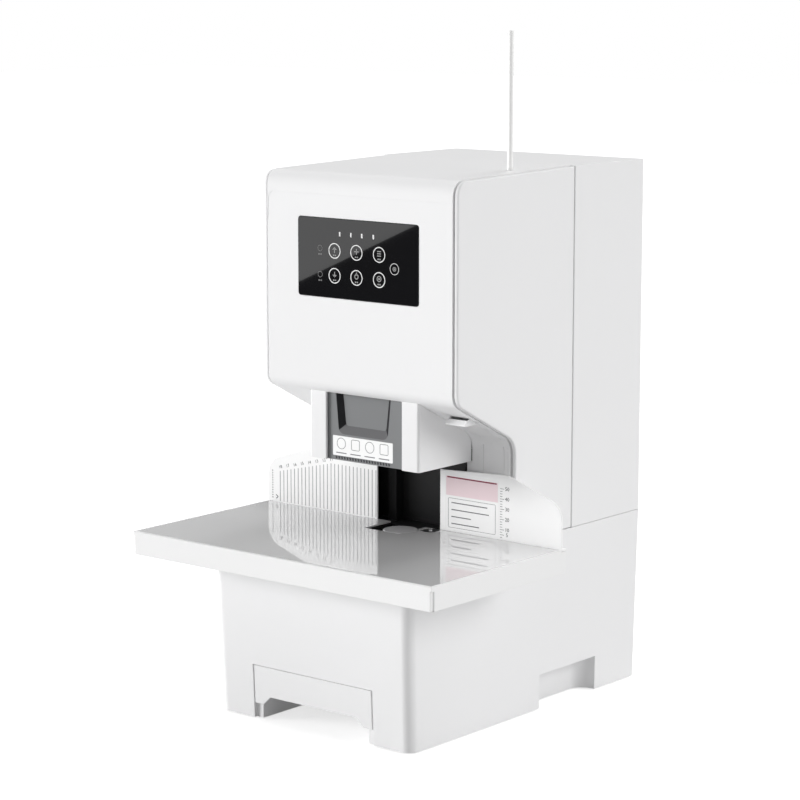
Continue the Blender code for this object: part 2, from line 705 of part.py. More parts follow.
def build_base():
    low = FOOT_PROUD
    outer = [rounded(base_corners(low)), rounded(base_corners(DECK_Z))]
    housing = solid("base_housing", [[place("Z", z, point) for point in points]
                                     for z, points in zip((low, DECK_Z), outer)], WHITE_ABS)
    inner_levels = (low - OVERRUN, DECK_Z - BASE_WALL)
    inner = [rounded(inset(base_corners(z), BASE_WALL)) for z in inner_levels]
    cavity = solid("cavity", [[place("Z", z, point) for point in points]
                              for z, points in zip(inner_levels, inner)], WHITE_ABS)
    # Left standing in the cavity: floors in the four corners, which carry the feet
    under = low - 2 * OVERRUN
    kept = []
    for x_side in (-1, 1):
        for y_side in (-1, 1):
            corner_x = x_side * (base_half(x_side) - BASE_SIDE_DRAFT - BASE_WALL / 2)
            corner_y = (REAR_Y - BASE_REAR_DRAFT - BASE_WALL / 2 if y_side > 0
                        else BASE_FRONT_Y + BASE_FRONT_DRAFT + BASE_WALL / 2)
            near_x = corner_x - x_side * CORNER_FLOOR
            near_y = corner_y - y_side * CORNER_FLOOR
            floor = rectangle(min(corner_x, near_x), min(corner_y, near_y),
                              max(corner_x, near_x), max(corner_y, near_y), 0.0)
            kept.append(prism("floor", rounded(floor), "Z", under, low + BASE_WALL, WHITE_ABS))
    # Tunnel walls beside the drawer, each with a ledge at its foot that carries it
    tunnel_front = BASE_FRONT_Y
    tunnel_rear = drawer_front_y(DRAWER_Z) + DRAWER_LENGTH + OVERRUN
    for side in (-1, 1):
        inner_x = DRAWER_X + side * TUNNEL_HALF
        outer_x = inner_x + side * TUNNEL_WALL
        rail_x = inner_x - side * RAIL_WIDTH
        kept.append(block((min(inner_x, outer_x), tunnel_front, under),
                          (max(inner_x, outer_x), tunnel_rear, TUNNEL_TOP_Z + TUNNEL_WALL_RISE)))
        kept.append(block((min(rail_x, outer_x), tunnel_front, under),
                          (max(rail_x, outer_x), tunnel_rear, DRAWER_FLOOR_Z - SEAT_GAP)))
    # Walls of the grip pockets
    roof = low + GRIP_RISE
    for side in (-1, 1):
        kept.append(prism("pocket_wall", rounded(grip_corners(side, GRIP_WALL)), "Z", under,
                          roof + GRIP_WALL, WHITE_ABS))
    cut(cavity, *kept)
    cut(housing, cavity)
    front_opening = block((DRAWER_X - TUNNEL_HALF, BASE_FRONT_Y - OVERRUN, low - OVERRUN),
                          (DRAWER_X + TUNNEL_HALF, BASE_FRONT_Y + BASE_FRONT_DRAFT + BASE_WALL + SEAT_GAP,
                           TUNNEL_TOP_Z))
    # Wells through the deck for the frame and for the chute and the pads
    frame_well = block((-HEAD_HALF + WELL_SIDE_MARGIN, THROAT_Y + WELL_FRONT_MARGIN,
                        DECK_Z - BASE_WALL - OVERRUN),
                       (HEAD_HALF - WELL_SIDE_MARGIN, REAR_Y - WELL_REAR_MARGIN, DECK_Z + OVERRUN))
    pad_well = block((LINER_LEFT_X + LINER_MARGIN / 2, BLOCK_FRONT_Y - LINER_MARGIN / 2,
                      DECK_Z - BASE_WALL - OVERRUN),
                     (LINER_RIGHT_X - LINER_MARGIN / 2, BLOCK_REAR_Y + LINER_MARGIN / 2, DECK_Z + OVERRUN))
    pockets = [prism("pocket", rounded(grip_corners(side, 0.0)), "Z", low - OVERRUN, roof, WHITE_ABS)
               for side in (-1, 1)]
    cut(housing, front_opening, frame_well, pad_well, *pockets)
    # Rear wall holes for the inlet and the switch
    for x, width, height in ((INLET_X, INLET_WIDTH, INLET_HEIGHT), (SWITCH_X, SWITCH_WIDTH, SWITCH_HEIGHT)):
        cut(housing,
            block((x - width / 2 - SEAT_GAP, REAR_Y - BASE_REAR_DRAFT - BASE_WALL - OVERRUN,
                   rear_fitting_z() - height / 2 - SEAT_GAP),
                  (x + width / 2 + SEAT_GAP, REAR_Y + OVERRUN,
                   rear_fitting_z() + height / 2 + SEAT_GAP)))
    # Holes for the feet's stems
    for x, y in foot_places():
        cut(housing,
            hole((x, y), "Z", FOOT_STEM_RADIUS + SEAT_GAP, low - OVERRUN, low + BASE_WALL + OVERRUN,
                 PIN_SIDES))


def foot_places():
    left, right = (base_half(side) - BASE_SIDE_DRAFT - FOOT_INSET for side in (-1, 1))
    front = BASE_FRONT_Y + BASE_FRONT_DRAFT + FOOT_INSET
    rear = REAR_Y - BASE_REAR_DRAFT - FOOT_INSET
    return [(-left, front), (right, front), (-left, rear), (right, rear)]


def build_feet():
    for number, (x, y) in enumerate(foot_places(), start=1):
        pad_top = FOOT_PROUD - SEAT_GAP
        stem_top = FOOT_PROUD + BASE_WALL + FOOT_STEM_RISE
        disc(f"foot_{number}", (x, y), "Z",
             [(0.0, FOOT_RADIUS), (pad_top, FOOT_RADIUS), (pad_top, FOOT_STEM_RADIUS),
              (stem_top, FOOT_STEM_RADIUS)], RUBBER, PIN_SIDES)


def drawer_front_y(level):
    """The housing's inclined front face at a height."""
    return base_corners(level)[0][1]


def build_drawer():
    """The front plate leans with the housing; the box behind it is open above."""
    front_low = drawer_front_y(DRAWER_Z)
    front_high = drawer_front_y(DRAWER_TOP_Z)
    pull = DRAWER_PULL_WIDTH / 2
    slant = DRAWER_PULL_SLANT
    face_outline = [(-DRAWER_HALF, DRAWER_Z), (-pull, DRAWER_Z),
                    (-pull + slant, DRAWER_Z + DRAWER_PULL_RISE),
                    (pull - slant, DRAWER_Z + DRAWER_PULL_RISE), (pull, DRAWER_Z),
                    (DRAWER_HALF, DRAWER_Z), (DRAWER_HALF, DRAWER_TOP_Z), (-DRAWER_HALF, DRAWER_TOP_Z)]

    def leaning(depth):
        """The face's outline pushed back from the housing's inclined front."""
        points = []
        for u, v in face_outline:
            share = (v - DRAWER_Z) / DRAWER_RISE
            points.append(Vector((DRAWER_X + u, front_low + (front_high - front_low) * share + depth, v)))
        return points

    drawer = solid("waste_drawer", [leaning(0.0), leaning(DRAWER_FACE)], WHITE_ABS)
    box_half = DRAWER_HALF - DRAWER_SIDE_STEP
    rear = front_low + DRAWER_LENGTH
    top = DRAWER_TOP_Z - DRAWER_LIP_DROP
    # The box starts inside the face plate
    body = block((DRAWER_X - box_half, front_low + DRAWER_FACE / 2, DRAWER_FLOOR_Z),
                 (DRAWER_X + box_half, rear, top))
    join(drawer, body)
    inside = block((DRAWER_X - box_half + DRAWER_WALL, front_low + DRAWER_FACE,
                    DRAWER_FLOOR_Z + DRAWER_WALL),
                   (DRAWER_X + box_half - DRAWER_WALL, rear - DRAWER_WALL, DRAWER_TOP_Z + OVERRUN))
    cut(drawer, inside)


def build_chassis():
    half = HEAD_HALF - CHASSIS_SIDE_MARGIN
    plate = box("chassis_plate", (-half, CHASSIS_FRONT_Y, CHASSIS_Z),
                (half, REAR_Y - CHASSIS_REAR_MARGIN, CHASSIS_TOP_Z), ZINC)
    left, front, right, rear = chip_chute_plan()
    cut(plate, block((left - SEAT_GAP, front - SEAT_GAP, CHASSIS_Z - OVERRUN),
                     (right + SEAT_GAP, rear + SEAT_GAP, CHASSIS_TOP_Z + OVERRUN)))


# Table: tray, glossy sheet, fences, throat liner, pads

def notch_tools(low, high):
    """Cutters for the notch: a rectangle, the two round seats and the liner's mouth."""
    return [block((-NOTCH_HALF, NOTCH_Y, low), (NOTCH_HALF, FENCE_Y + OVERRUN, high)),
            hole((DRILL_X, DRILL_Y), "Z", PAD_RADIUS + RUNNING_GAP, low, high),
            hole((RIVET_X, RIVET_Y), "Z", ANVIL_RADIUS + RUNNING_GAP, low, high)]


def build_table():
    tray = box("table_tray", (-TABLE_HALF, FRONT_Y, SKIRT_Z), (TABLE_HALF, TRAY_REAR_Y, TABLE_Z),
               WHITE_SHEET)
    under = block((-TABLE_HALF + SKIRT_WALL, FRONT_Y + SKIRT_WALL, SKIRT_Z - OVERRUN),
                  (TABLE_HALF - SKIRT_WALL, TRAY_REAR_Y + OVERRUN, TRAY_BOTTOM_Z))
    pocket = block((-TABLE_HALF + TABLE_RIM, FRONT_Y + TABLE_RIM, TRAY_FLOOR_Z),
                   (TABLE_HALF - TABLE_RIM, TRAY_REAR_Y + OVERRUN, TABLE_Z + OVERRUN))
    rear_step = block((-TABLE_HALF - OVERRUN, FENCE_Y, TRAY_FLOOR_Z),
                      (TABLE_HALF + OVERRUN, TRAY_REAR_Y + OVERRUN, TABLE_Z + OVERRUN))
    liner_seat = block((LINER_LEFT_X - SEAT_GAP, LINER_FRONT_Y - SEAT_GAP, TRAY_BOTTOM_Z - OVERRUN),
                       (LINER_RIGHT_X + SEAT_GAP, FENCE_Y + SEAT_GAP, TABLE_Z + OVERRUN))
    liner_mouth = block((-LINER_HALF - SEAT_GAP, FENCE_Y - SEAT_GAP, TRAY_BOTTOM_Z - OVERRUN),
                        (max(LINER_HALF, LINER_RIGHT_X) + SEAT_GAP, TRAY_REAR_Y + OVERRUN,
                         TABLE_Z + OVERRUN))
    slits = [block((min(side * (TABLE_HALF + OVERRUN), side * (TABLE_HALF - CORNER_SLIT)),
                    FRONT_Y - OVERRUN, SKIRT_Z - OVERRUN),
                   (max(side * (TABLE_HALF + OVERRUN), side * (TABLE_HALF - CORNER_SLIT)),
                    FRONT_Y + SKIRT_WALL + CORNER_SLIT, TRAY_BOTTOM_Z)) for side in (-1, 1)]
    cut(tray, under, pocket, rear_step, liner_seat, liner_mouth, *slits)
    sheet_half = TABLE_HALF - TABLE_RIM - SEAT_GAP
    sheet = box("table_surface", (-sheet_half, FRONT_Y + TABLE_RIM + SEAT_GAP, SHEET_Z),
                (sheet_half, FENCE_Y - SEAT_GAP, TABLE_Z), GLOSS_SHEET)
    cut(sheet, *notch_tools(SHEET_Z - OVERRUN, TABLE_Z + OVERRUN))


def build_fences():
    """Each fence is a sheet wall with a foot flange behind the glossy sheet."""
    foot = SHEET_Z
    inner = FENCE_GAP / 2
    wall_rear = FENCE_Y + FENCE_SHEET
    flange_rear = TRAY_REAR_Y
    for name, side, inner_rise in (("fence_right", 1, FENCE_INNER_RISE), ("fence_left", -1, FENCE_LEFT_INNER_RISE)):
        outline = rounded([(inner, foot, 0.0), (TABLE_HALF, foot, 0.0),
                           (TABLE_HALF, TABLE_Z + FENCE_TIP_RISE, FENCE_TIP_ROUND),
                           (inner + FENCE_PEAK_REACH, TABLE_Z + FENCE_PEAK_RISE, FENCE_PEAK_ROUND),
                           (inner, TABLE_Z + inner_rise, 0.0)])
        points = outline if side > 0 else mirrored_outline(outline)
        fence = prism(name, points, "Y", FENCE_Y, wall_rear, WHITE_SHEET)
        flange_inner = LINER_HALF + LINER_MARGIN
        if side > 0:
            flange_inner = max(LINER_HALF, LINER_RIGHT_X) + SEAT_GAP * 2
        ends = sorted((side * flange_inner, side * TABLE_HALF))
        join(fence, block((ends[0], FENCE_Y + FENCE_SHEET / 2, foot),
                          (ends[1], flange_rear, foot + FENCE_SHEET)))


def build_throat():
    floor_top = LINER_FLOOR_Z + LINER_SHEET
    liner = box("throat_liner", (-LINER_HALF, THROAT_Y - SEAM_GAP, LINER_FLOOR_Z),
                (LINER_HALF, LINER_BACK_Y, LINER_TOP_Z), BLACK_ABS)
    tongue = block((LINER_LEFT_X, LINER_FRONT_Y, LINER_FLOOR_Z),
                   (LINER_RIGHT_X, FENCE_Y + FENCE_SHEET + LINER_SHEET, floor_top))
    shelf = block((-LINER_HALF, FENCE_Y + FENCE_SHEET + SEAT_GAP, LINER_FLOOR_Z),
                  (LINER_HALF, THROAT_Y + OVERRUN, floor_top))
    recess = block((-LINER_HALF + LINER_SHEET, THROAT_Y - SEAM_GAP - OVERRUN, floor_top),
                   (LINER_HALF - LINER_SHEET, LINER_BACK_Y - LINER_SHEET, LINER_TOP_Z + OVERRUN))
    cut(liner, recess)
    join(liner, tongue, shelf)
    rib = block((LINER_RIB_X, LINER_BACK_Y - LINER_SHEET - LINER_RIB_DEPTH, floor_top - LINER_SHEET / 2),
                (LINER_RIB_X + LINER_RIB_WIDTH, LINER_BACK_Y - LINER_SHEET / 2, LINER_TOP_Z))
    join(liner, rib)
    high = floor_top + OVERRUN
    scrap = block((SCRAP_LEFT_X, BLOCK_FRONT_Y + SCRAP_HOLE_MARGIN, LINER_FLOOR_Z - OVERRUN),
                  (SCRAP_RIGHT_X, BLOCK_REAR_Y - SCRAP_HOLE_MARGIN, high))
    cut(liner, scrap,
        hole((DRILL_X, DRILL_Y), "Z", PAD_RADIUS + RUNNING_GAP, LINER_FLOOR_Z - OVERRUN, high),
        hole((RIVET_X, RIVET_Y), "Z", ANVIL_RADIUS + RUNNING_GAP, LINER_FLOOR_Z - OVERRUN, high))
    box("anvil_block", (BLOCK_LEFT_X, BLOCK_FRONT_Y, CHASSIS_TOP_Z + SEAT_GAP),
        (BLOCK_RIGHT_X, BLOCK_REAR_Y, BLOCK_Z), ALUMINIUM)
    pad_low = BLOCK_Z + SEAT_GAP
    disc("drill_pad", (DRILL_X, DRILL_Y), "Z",
         [(pad_low, PAD_RADIUS), (TABLE_Z - PAD_CHAMFER, PAD_RADIUS),
          (TABLE_Z, PAD_RADIUS - PAD_CHAMFER)], NYLON)
    disc("rivet_anvil", (RIVET_X, RIVET_Y), "Z",
         [(pad_low, ANVIL_RADIUS), (TABLE_Z - PAD_CHAMFER, ANVIL_RADIUS),
          (TABLE_Z, ANVIL_RADIUS - PAD_CHAMFER), (TABLE_Z, ANVIL_PIN_RADIUS),
          (TABLE_Z + ANVIL_PIN_RISE, ANVIL_PIN_RADIUS)], STEEL)


def chip_chute_plan():
    """Plan of the duct that drops paper chips from the notch into the drawer."""
    left = SCRAP_LEFT_X - CHUTE_SHEET
    right = min(SCRAP_RIGHT_X + CHUTE_SHEET, BLOCK_LEFT_X - SEAT_GAP)
    return left, BLOCK_FRONT_Y, right, BLOCK_REAR_Y


def build_chip_chute():
    left, front, right, rear = chip_chute_plan()
    outer = [Vector(corner[:2]) for corner in rectangle(left, front, right, rear)]
    inner = [Vector(corner[:2]) for corner in rectangle(left + CHUTE_SHEET, front + CHUTE_SHEET,
                                                        right - CHUTE_SHEET, rear - CHUTE_SHEET)]
    ring("chip_chute", outer, inner, "Z", CHASSIS_Z - CHUTE_SHEET, DECK_Z - SEAT_GAP, BLACK_ABS)


# Head casing

def head_corners():
    """Side profile of the head, counter-clockwise in (y, z)."""
    return [(SEAM_Y, LID_Z, 0.0), (HEAD_Y, LID_Z - LID_FALL, LID_ROUND), (HEAD_Y, CHIN_Z, CHIN_ROUND),
            (THROAT_Y, THROAT_TOP_Z, THROAT_ROUND), (THROAT_Y, COVER_FOOT_Z, 0.0),
            (SEAM_Y, COVER_FOOT_Z, 0.0)]


def cover_band():
    """The front cover's section: the profile from the seam round to the throat wall's foot."""
    outer = head_corners()
    inner = inset(outer, COVER_WALL)
    foot = (THROAT_Y + COVER_WALL, COVER_FOOT_Z, 0.0)
    lid_edge = (SEAM_Y, LID_Z - COVER_WALL, 0.0)
    return rounded(outer[:5] + [foot] + inner[3:0:-1] + [lid_edge])


def slope_z(y):
    """Height of the chin's slope above a place along Y."""
    share = (y - HEAD_Y) / (THROAT_Y - HEAD_Y)
    return CHIN_Z + (THROAT_TOP_Z - CHIN_Z) * share


def build_front_cover():
    cover = prism("front_cover", cover_band(), "X", -COVER_HALF, COVER_HALF, WHITE_ABS)
    nose = block((-NOSE_HALF - SEAT_GAP, NOSE_Y - SEAT_GAP, NOSE_Z - SEAT_GAP),
                 (NOSE_HALF + SEAT_GAP, THROAT_Y + COVER_WALL + OVERRUN, CHIN_Z + OVERRUN))
    throat = block((-LINER_HALF - SEAT_GAP, THROAT_Y - OVERRUN, DECK_Z - OVERRUN),
                   (LINER_HALF + SEAT_GAP, THROAT_Y + COVER_WALL + OVERRUN, NOSE_Z + OVERRUN))
    slot = block((CHUTE_X - CHUTE_HALF - SEAT_GAP, SLOT_FRONT_Y, slope_z(SLOT_REAR_Y) - OVERRUN),
                 (CHUTE_X + CHUTE_HALF + SEAT_GAP, SLOT_REAR_Y,
                  slope_z(SLOT_FRONT_Y) + COVER_WALL + OVERRUN))
    lid_hole = hole((TUBE_X, TUBE_Y), "Z", LID_HOLE_RADIUS, LID_Z - COVER_WALL - OVERRUN * 2,
                    LID_Z + OVERRUN)
    window = prism("window", rounded(panel_corners(-SEAT_GAP)), "Y", HEAD_Y - OVERRUN,
                   HEAD_Y + COVER_WALL + OVERRUN, STEEL)
    cut(cover, nose, throat, slot, lid_hole, window)


def cheek_corners():
    """The head's profile, set back from the front cover's skin where the cover wraps round it."""
    lid, front, chin, throat, foot, _ = inset(head_corners(), CHEEK_SETBACK)
    return [(SEAM_Y, lid[1], 0.0), front, chin, throat, (foot[0], COVER_FOOT_Z, 0.0),
            (SEAM_Y, COVER_FOOT_Z, 0.0)]


def build_cheeks():
    """Side plates with a rounded outer edge and a rib that lies under the front cover's edge."""
    profile = cheek_corners()
    lip = inset(head_corners(), COVER_WALL + SEAT_GAP)
    for name, side in (("cheek_right", 1), ("cheek_left", -1)):
        rings = []
        for angle_share in (0.0, 0.5, 1.0):
            angle = angle_share * math.pi / 2
            sunk = CHEEK_EDGE_ROUND * (1 - math.sin(angle))
            across = HEAD_HALF - CHEEK_EDGE_ROUND * (1 - math.cos(angle))
            points = rounded(inset(profile, sunk)) if sunk > 0 else rounded(profile)
            rings.append([place("X", side * across, point) for point in points])
        rings.append([place("X", side * (HEAD_HALF - CHEEK_WALL), point) for point in rounded(profile)])
        cheek = solid(name, rings, WHITE_ABS)
        ends = sorted((side * (HEAD_HALF - CHEEK_WALL - CHEEK_RIB_WIDTH),
                       side * (HEAD_HALF - CHEEK_WALL / 2)))
        rib = ring("rib", rounded(lip), rounded(inset(lip, COVER_WALL)), "X", ends[0], ends[1], WHITE_ABS)
        join(cheek, rib)


def build_rear_cover():
    front = SEAM_Y + SEAM_GAP
    plan = [(-HEAD_HALF, front, 0.0), (HEAD_HALF, front, 0.0), (HEAD_HALF, REAR_Y, REAR_CORNER_ROUND),
            (-HEAD_HALF, REAR_Y, REAR_CORNER_ROUND)]
    cover = prism("rear_cover", rounded(plan), "Z", COVER_FOOT_Z, LID_Z, WHITE_ABS)
    inner = prism("inner", rounded([(-HEAD_HALF + COVER_WALL, front - OVERRUN, 0.0),
                                    (HEAD_HALF - COVER_WALL, front - OVERRUN, 0.0),
                                    (HEAD_HALF - COVER_WALL, REAR_Y - COVER_WALL, 0.0),
                                    (-HEAD_HALF + COVER_WALL, REAR_Y - COVER_WALL, 0.0)]),
                  "Z", COVER_FOOT_Z - OVERRUN, LID_Z - COVER_WALL, WHITE_ABS)
    cut(cover, inner)
    vents = []
    for row in range(VENT_COUNT):
        level = LID_Z - VENT_TOP_DROP - row * VENT_PITCH
        slot = rounded(rectangle(-VENT_WIDTH / 2, level - VENT_HEIGHT / 2, VENT_WIDTH / 2,
                                 level + VENT_HEIGHT / 2))
        vents.append(prism("vent", slot, "Y", REAR_Y - COVER_WALL - OVERRUN, REAR_Y + OVERRUN, WHITE_ABS))
    cut(cover, *vents)
    recesses = []
    for side in (-1, 1):
        for level in (COVER_FOOT_Z + SCREW_MARGIN, LID_Z - SCREW_MARGIN):
            centre = (side * (HEAD_HALF - SCREW_MARGIN), level)
            recesses.append(hole(centre, "Y", SCREW_RECESS_RADIUS, REAR_Y - SCREW_RECESS_DEPTH,
                                 REAR_Y + OVERRUN, PIN_SIDES))
    cut(cover, *recesses)


# Nose shell, guard and panel

def build_nose():
    """Two side walls with front lips, joined by a bridge behind the chin."""
    rear = THROAT_Y - SEAM_GAP
    top = NOSE_Z + NOSE_TOP_RISE
    shell = prism("nose_shell",
                  rounded([(-NOSE_HALF, NOSE_Y, NOSE_ROUND), (NOSE_HALF, NOSE_Y, NOSE_ROUND),
                           (NOSE_HALF, rear, 0.0), (-NOSE_HALF, rear, 0.0)]), "Z", NOSE_Z, top,
                  WHITE_ABS)
    inside = block((-NOSE_INNER_HALF, NOSE_Y + NOSE_WALL, NOSE_Z - OVERRUN),
                   (NOSE_INNER_HALF, rear + OVERRUN, top + OVERRUN))
    mouth = block((-GUARD_OPENING / 2, NOSE_Y - OVERRUN, NOSE_Z - OVERRUN),
                  (GUARD_OPENING / 2, NOSE_Y + NOSE_WALL + OVERRUN, NOSE_Z + NOSE_BRIDGE_RISE))
    cut(shell, inside, mouth)


def recess_outline(margin, at_floor):
    """The finger recess at the guard's face or at its floor: narrower below, open at the top."""
    side_slope, foot_slope, radius = ((RECESS_SIDE_SLOPE, RECESS_FOOT_SLOPE, RECESS_FLOOR_ROUND) if at_floor
                                      else (0.0, 0.0, RECESS_ROUND))
    low = NOSE_Z + RECESS_RISE + foot_slope - margin
    high = NOSE_Z + GUARD_RISE + (OVERRUN if margin == 0 else -SEAT_GAP)
    foot = RECESS_FOOT_WIDTH / 2 - side_slope + margin
    top = RECESS_TOP_WIDTH / 2 - side_slope + margin
    return rounded([(RECESS_X - foot, low, radius), (RECESS_X + foot, low, radius),
                    (RECESS_X + top, high, 0.0), (RECESS_X - top, high, 0.0)])


def build_guard():
    half = GUARD_OPENING / 2 + GUARD_LAP
    rear = GUARD_Y + GUARD_SHEET
    guard = box("guard", (-half, GUARD_Y, NOSE_Z + SEAT_GAP), (half, rear, NOSE_Z + GUARD_RISE), GREY_ABS)
    floor_y = GUARD_Y + RECESS_DEPTH
    cup = solid("cup", [[place("Y", y, point) for point in recess_outline(RECESS_WALL, at_floor)]
                        for y, at_floor in ((GUARD_Y + GUARD_SHEET / 2, False),
                                            (floor_y + RECESS_WALL, True))], GREY_ABS)
    join(guard, cup)
    hollow = solid("hollow", [[place("Y", y, point) for point in recess_outline(0.0, at_floor)]
                              for y, at_floor in ((GUARD_Y - OVERRUN, False), (GUARD_Y, False),
                                                  (floor_y, True))], GREY_ABS)
    cut(guard, hollow)


def panel_corners(margin):
    """The glass panel's outline, moved inwards by a margin."""
    half = PANEL_WIDTH / 2
    return inset(rectangle(-half, PANEL_Z, half, PANEL_Z + PANEL_HEIGHT, PANEL_ROUND), margin)


def build_panel():
    face = HEAD_Y - GLASS_PROUD
    prism("panel_glass", rounded(panel_corners(0.0)), "Y", face, face + GLASS_THICKNESS, BLACK_GLASS)
    half = PANEL_WIDTH / 2 + BOARD_MARGIN
    back = max(face + GLASS_THICKNESS, HEAD_Y + COVER_WALL) + SEAT_GAP
    box("touch_board", (-half, back, PANEL_Z - BOARD_MARGIN),
        (half, back + BOARD_SHEET, PANEL_Z + PANEL_HEIGHT + BOARD_MARGIN), BOARD_GREEN)


# Frame inside the head

def build_frame():
    top = ARM_TOP_Z
    plate = box("back_plate", (-BACK_PLATE_HALF, BACK_PLATE_Y, CHASSIS_TOP_Z + SEAT_GAP),
                (BACK_PLATE_HALF, BACK_PLATE_Y + BACK_PLATE_SHEET, top), ZINC)
    flange = block((-BACK_PLATE_HALF, BACK_PLATE_Y, CHASSIS_TOP_Z + SEAT_GAP),
                   (BACK_PLATE_HALF, BACK_PLATE_Y + BACK_PLATE_SHEET + BACK_FLANGE_DEPTH,
                    CHASSIS_TOP_Z + SEAT_GAP + BACK_FLANGE_SHEET))
    join(plate, flange)
    arm_half = NOSE_INNER_HALF + ARM_SIDE_MARGIN
    arm = box("top_arm", (-arm_half, ARM_FRONT_Y, ARM_Z),
              (arm_half, BACK_PLATE_Y - SEAT_GAP, ARM_TOP_Z), ALUMINIUM)
    low, high = ARM_Z - OVERRUN, ARM_TOP_Z + OVERRUN
    cut(arm, hole((FEED_SCREW_X, FEED_SCREW_Y), "Z", SCREW_RADIUS + RUNNING_GAP, low, high, PIN_SIDES),
        hole((RIVET_X, RIVET_Y), "Z", RAM_RADIUS + RUNNING_GAP, low, high, PIN_SIDES),
        hole((RAM_SCREW_X, RIVET_Y), "Z", SCREW_RADIUS + RUNNING_GAP, low, high, PIN_SIDES))
    plate_half = NOSE_INNER_HALF - SEAT_GAP
    nose_plate = box("nose_plate", (-plate_half, GUARD_Y + GUARD_SHEET + NOSE_PLATE_MARGIN, NOSE_PLATE_Z),
                     (plate_half, THROAT_Y - SEAM_GAP, NOSE_PLATE_TOP_Z), STEEL)
    low, high = NOSE_PLATE_Z - OVERRUN, NOSE_PLATE_TOP_Z + OVERRUN
    tools = [hole((DRILL_X, DRILL_Y), "Z", CHUCK_RADIUS + SEAM_GAP, low, high),
             hole((RIVET_X, RIVET_Y), "Z", HEATER_RADIUS + SEAM_GAP, low, high)]
    for centre in press_pin_places():
        tools.append(hole(centre, "Z", FOOT_PIN_RADIUS + RUNNING_GAP, low, high, PIN_SIDES))
    cut(nose_plate, *tools)
    rod_low, rod_high = NOSE_PLATE_TOP_Z + SEAT_GAP, ARM_Z - SEAT_GAP
    for name, x, y in (("guide_rod_left", ROD_LEFT_X, ROD_LEFT_Y),
                       ("guide_rod_right", ROD_RIGHT_X, ROD_RIGHT_Y)):
        disc(name, (x, y), "Z", [(rod_low, ROD_RADIUS), (rod_high, ROD_RADIUS)], STEEL, PIN_SIDES)


def build_carriage():
    left = ROD_LEFT_X - ROD_RADIUS - CARRIAGE_MARGIN / 2
    right = DRILL_X + SPINDLE_RADIUS + CARRIAGE_RIGHT_MARGIN
    front = DRILL_MOTOR_Y - DRILL_MOTOR_RADIUS + SEAM_GAP
    rear = ROD_RIGHT_Y + ROD_RADIUS + CARRIAGE_MARGIN / 4
    carriage = box("drill_carriage", (left, front, CARRIAGE_Z), (right, rear, CARRIAGE_TOP_Z), ALUMINIUM)
    low, high = CARRIAGE_Z - OVERRUN, CARRIAGE_TOP_Z + OVERRUN
    cut(carriage, hole((ROD_LEFT_X, ROD_LEFT_Y), "Z", ROD_RADIUS + RUNNING_GAP, low, high, PIN_SIDES),
        hole((ROD_RIGHT_X, ROD_RIGHT_Y), "Z", ROD_RADIUS + RUNNING_GAP, low, high, PIN_SIDES),
        hole((FEED_SCREW_X, FEED_SCREW_Y), "Z", SCREW_RADIUS + RUNNING_GAP, low, high, PIN_SIDES),
        hole((DRILL_X, DRILL_Y), "Z", SPINDLE_RADIUS + BEARING_WALL + SEAT_GAP, low, high),
        hole((DRILL_MOTOR_X, DRILL_MOTOR_Y), "Z", MOTOR_SHAFT_RADIUS + RUNNING_GAP, low, high, PIN_SIDES))
    bush("spindle_bearing", (DRILL_X, DRILL_Y), "Z", SPINDLE_RADIUS + BEARING_WALL,
         SPINDLE_RADIUS + RUNNING_GAP / 2, CARRIAGE_Z + BEARING_DROP, CARRIAGE_TOP_Z, STEEL)
    motor_low = CARRIAGE_TOP_Z + SEAT_GAP
    motor_top = motor_low + DRILL_MOTOR_HEIGHT
    disc("drill_motor", (DRILL_MOTOR_X, DRILL_MOTOR_Y), "Z",
         [(motor_low, DRILL_MOTOR_RADIUS), (motor_top - DRILL_MOTOR_CAP, DRILL_MOTOR_RADIUS),
          (motor_top - DRILL_MOTOR_CAP / 2, DRILL_MOTOR_RADIUS - DRILL_MOTOR_CAP / 4),
          (motor_top, DRILL_MOTOR_RADIUS / 2)], MOTOR_CAN)


def pulley(name, centre, radius, bore, low):
    """A flanged belt pulley on a shaft."""
    lip = radius + PULLEY_LIP
    high = low + PULLEY_HEIGHT
    outer = [(low, lip), (low + PULLEY_FLANGE, lip), (low + PULLEY_FLANGE, radius),
             (high - PULLEY_FLANGE, radius), (high - PULLEY_FLANGE, lip), (high, lip), (high, bore),
             (low, bore)]
    rings = [[place("Z", along, point) for point in circle(centre, size, DISC_SIDES)]
             for along, size in outer]
    return solid(name, rings, ALUMINIUM, closed=True)


def belt_points(first, first_radius, second, second_radius, sides):
    """Points round two circles and their outer tangents."""
    first, second = Vector(first), Vector(second)
    span = second - first
    heading = math.atan2(span.y, span.x)
    lean = math.asin((first_radius - second_radius) / span.length)
    points = []
    for centre, radius, start, swing in (
            (second, second_radius, heading - math.pi / 2 + lean, math.pi - 2 * lean),
            (first, first_radius, heading + math.pi / 2 - lean, math.pi + 2 * lean)):
        for step in range(sides + 1):
            angle = start + swing * step / sides
            points.append(centre + Vector((math.cos(angle), math.sin(angle))) * radius)
    return points


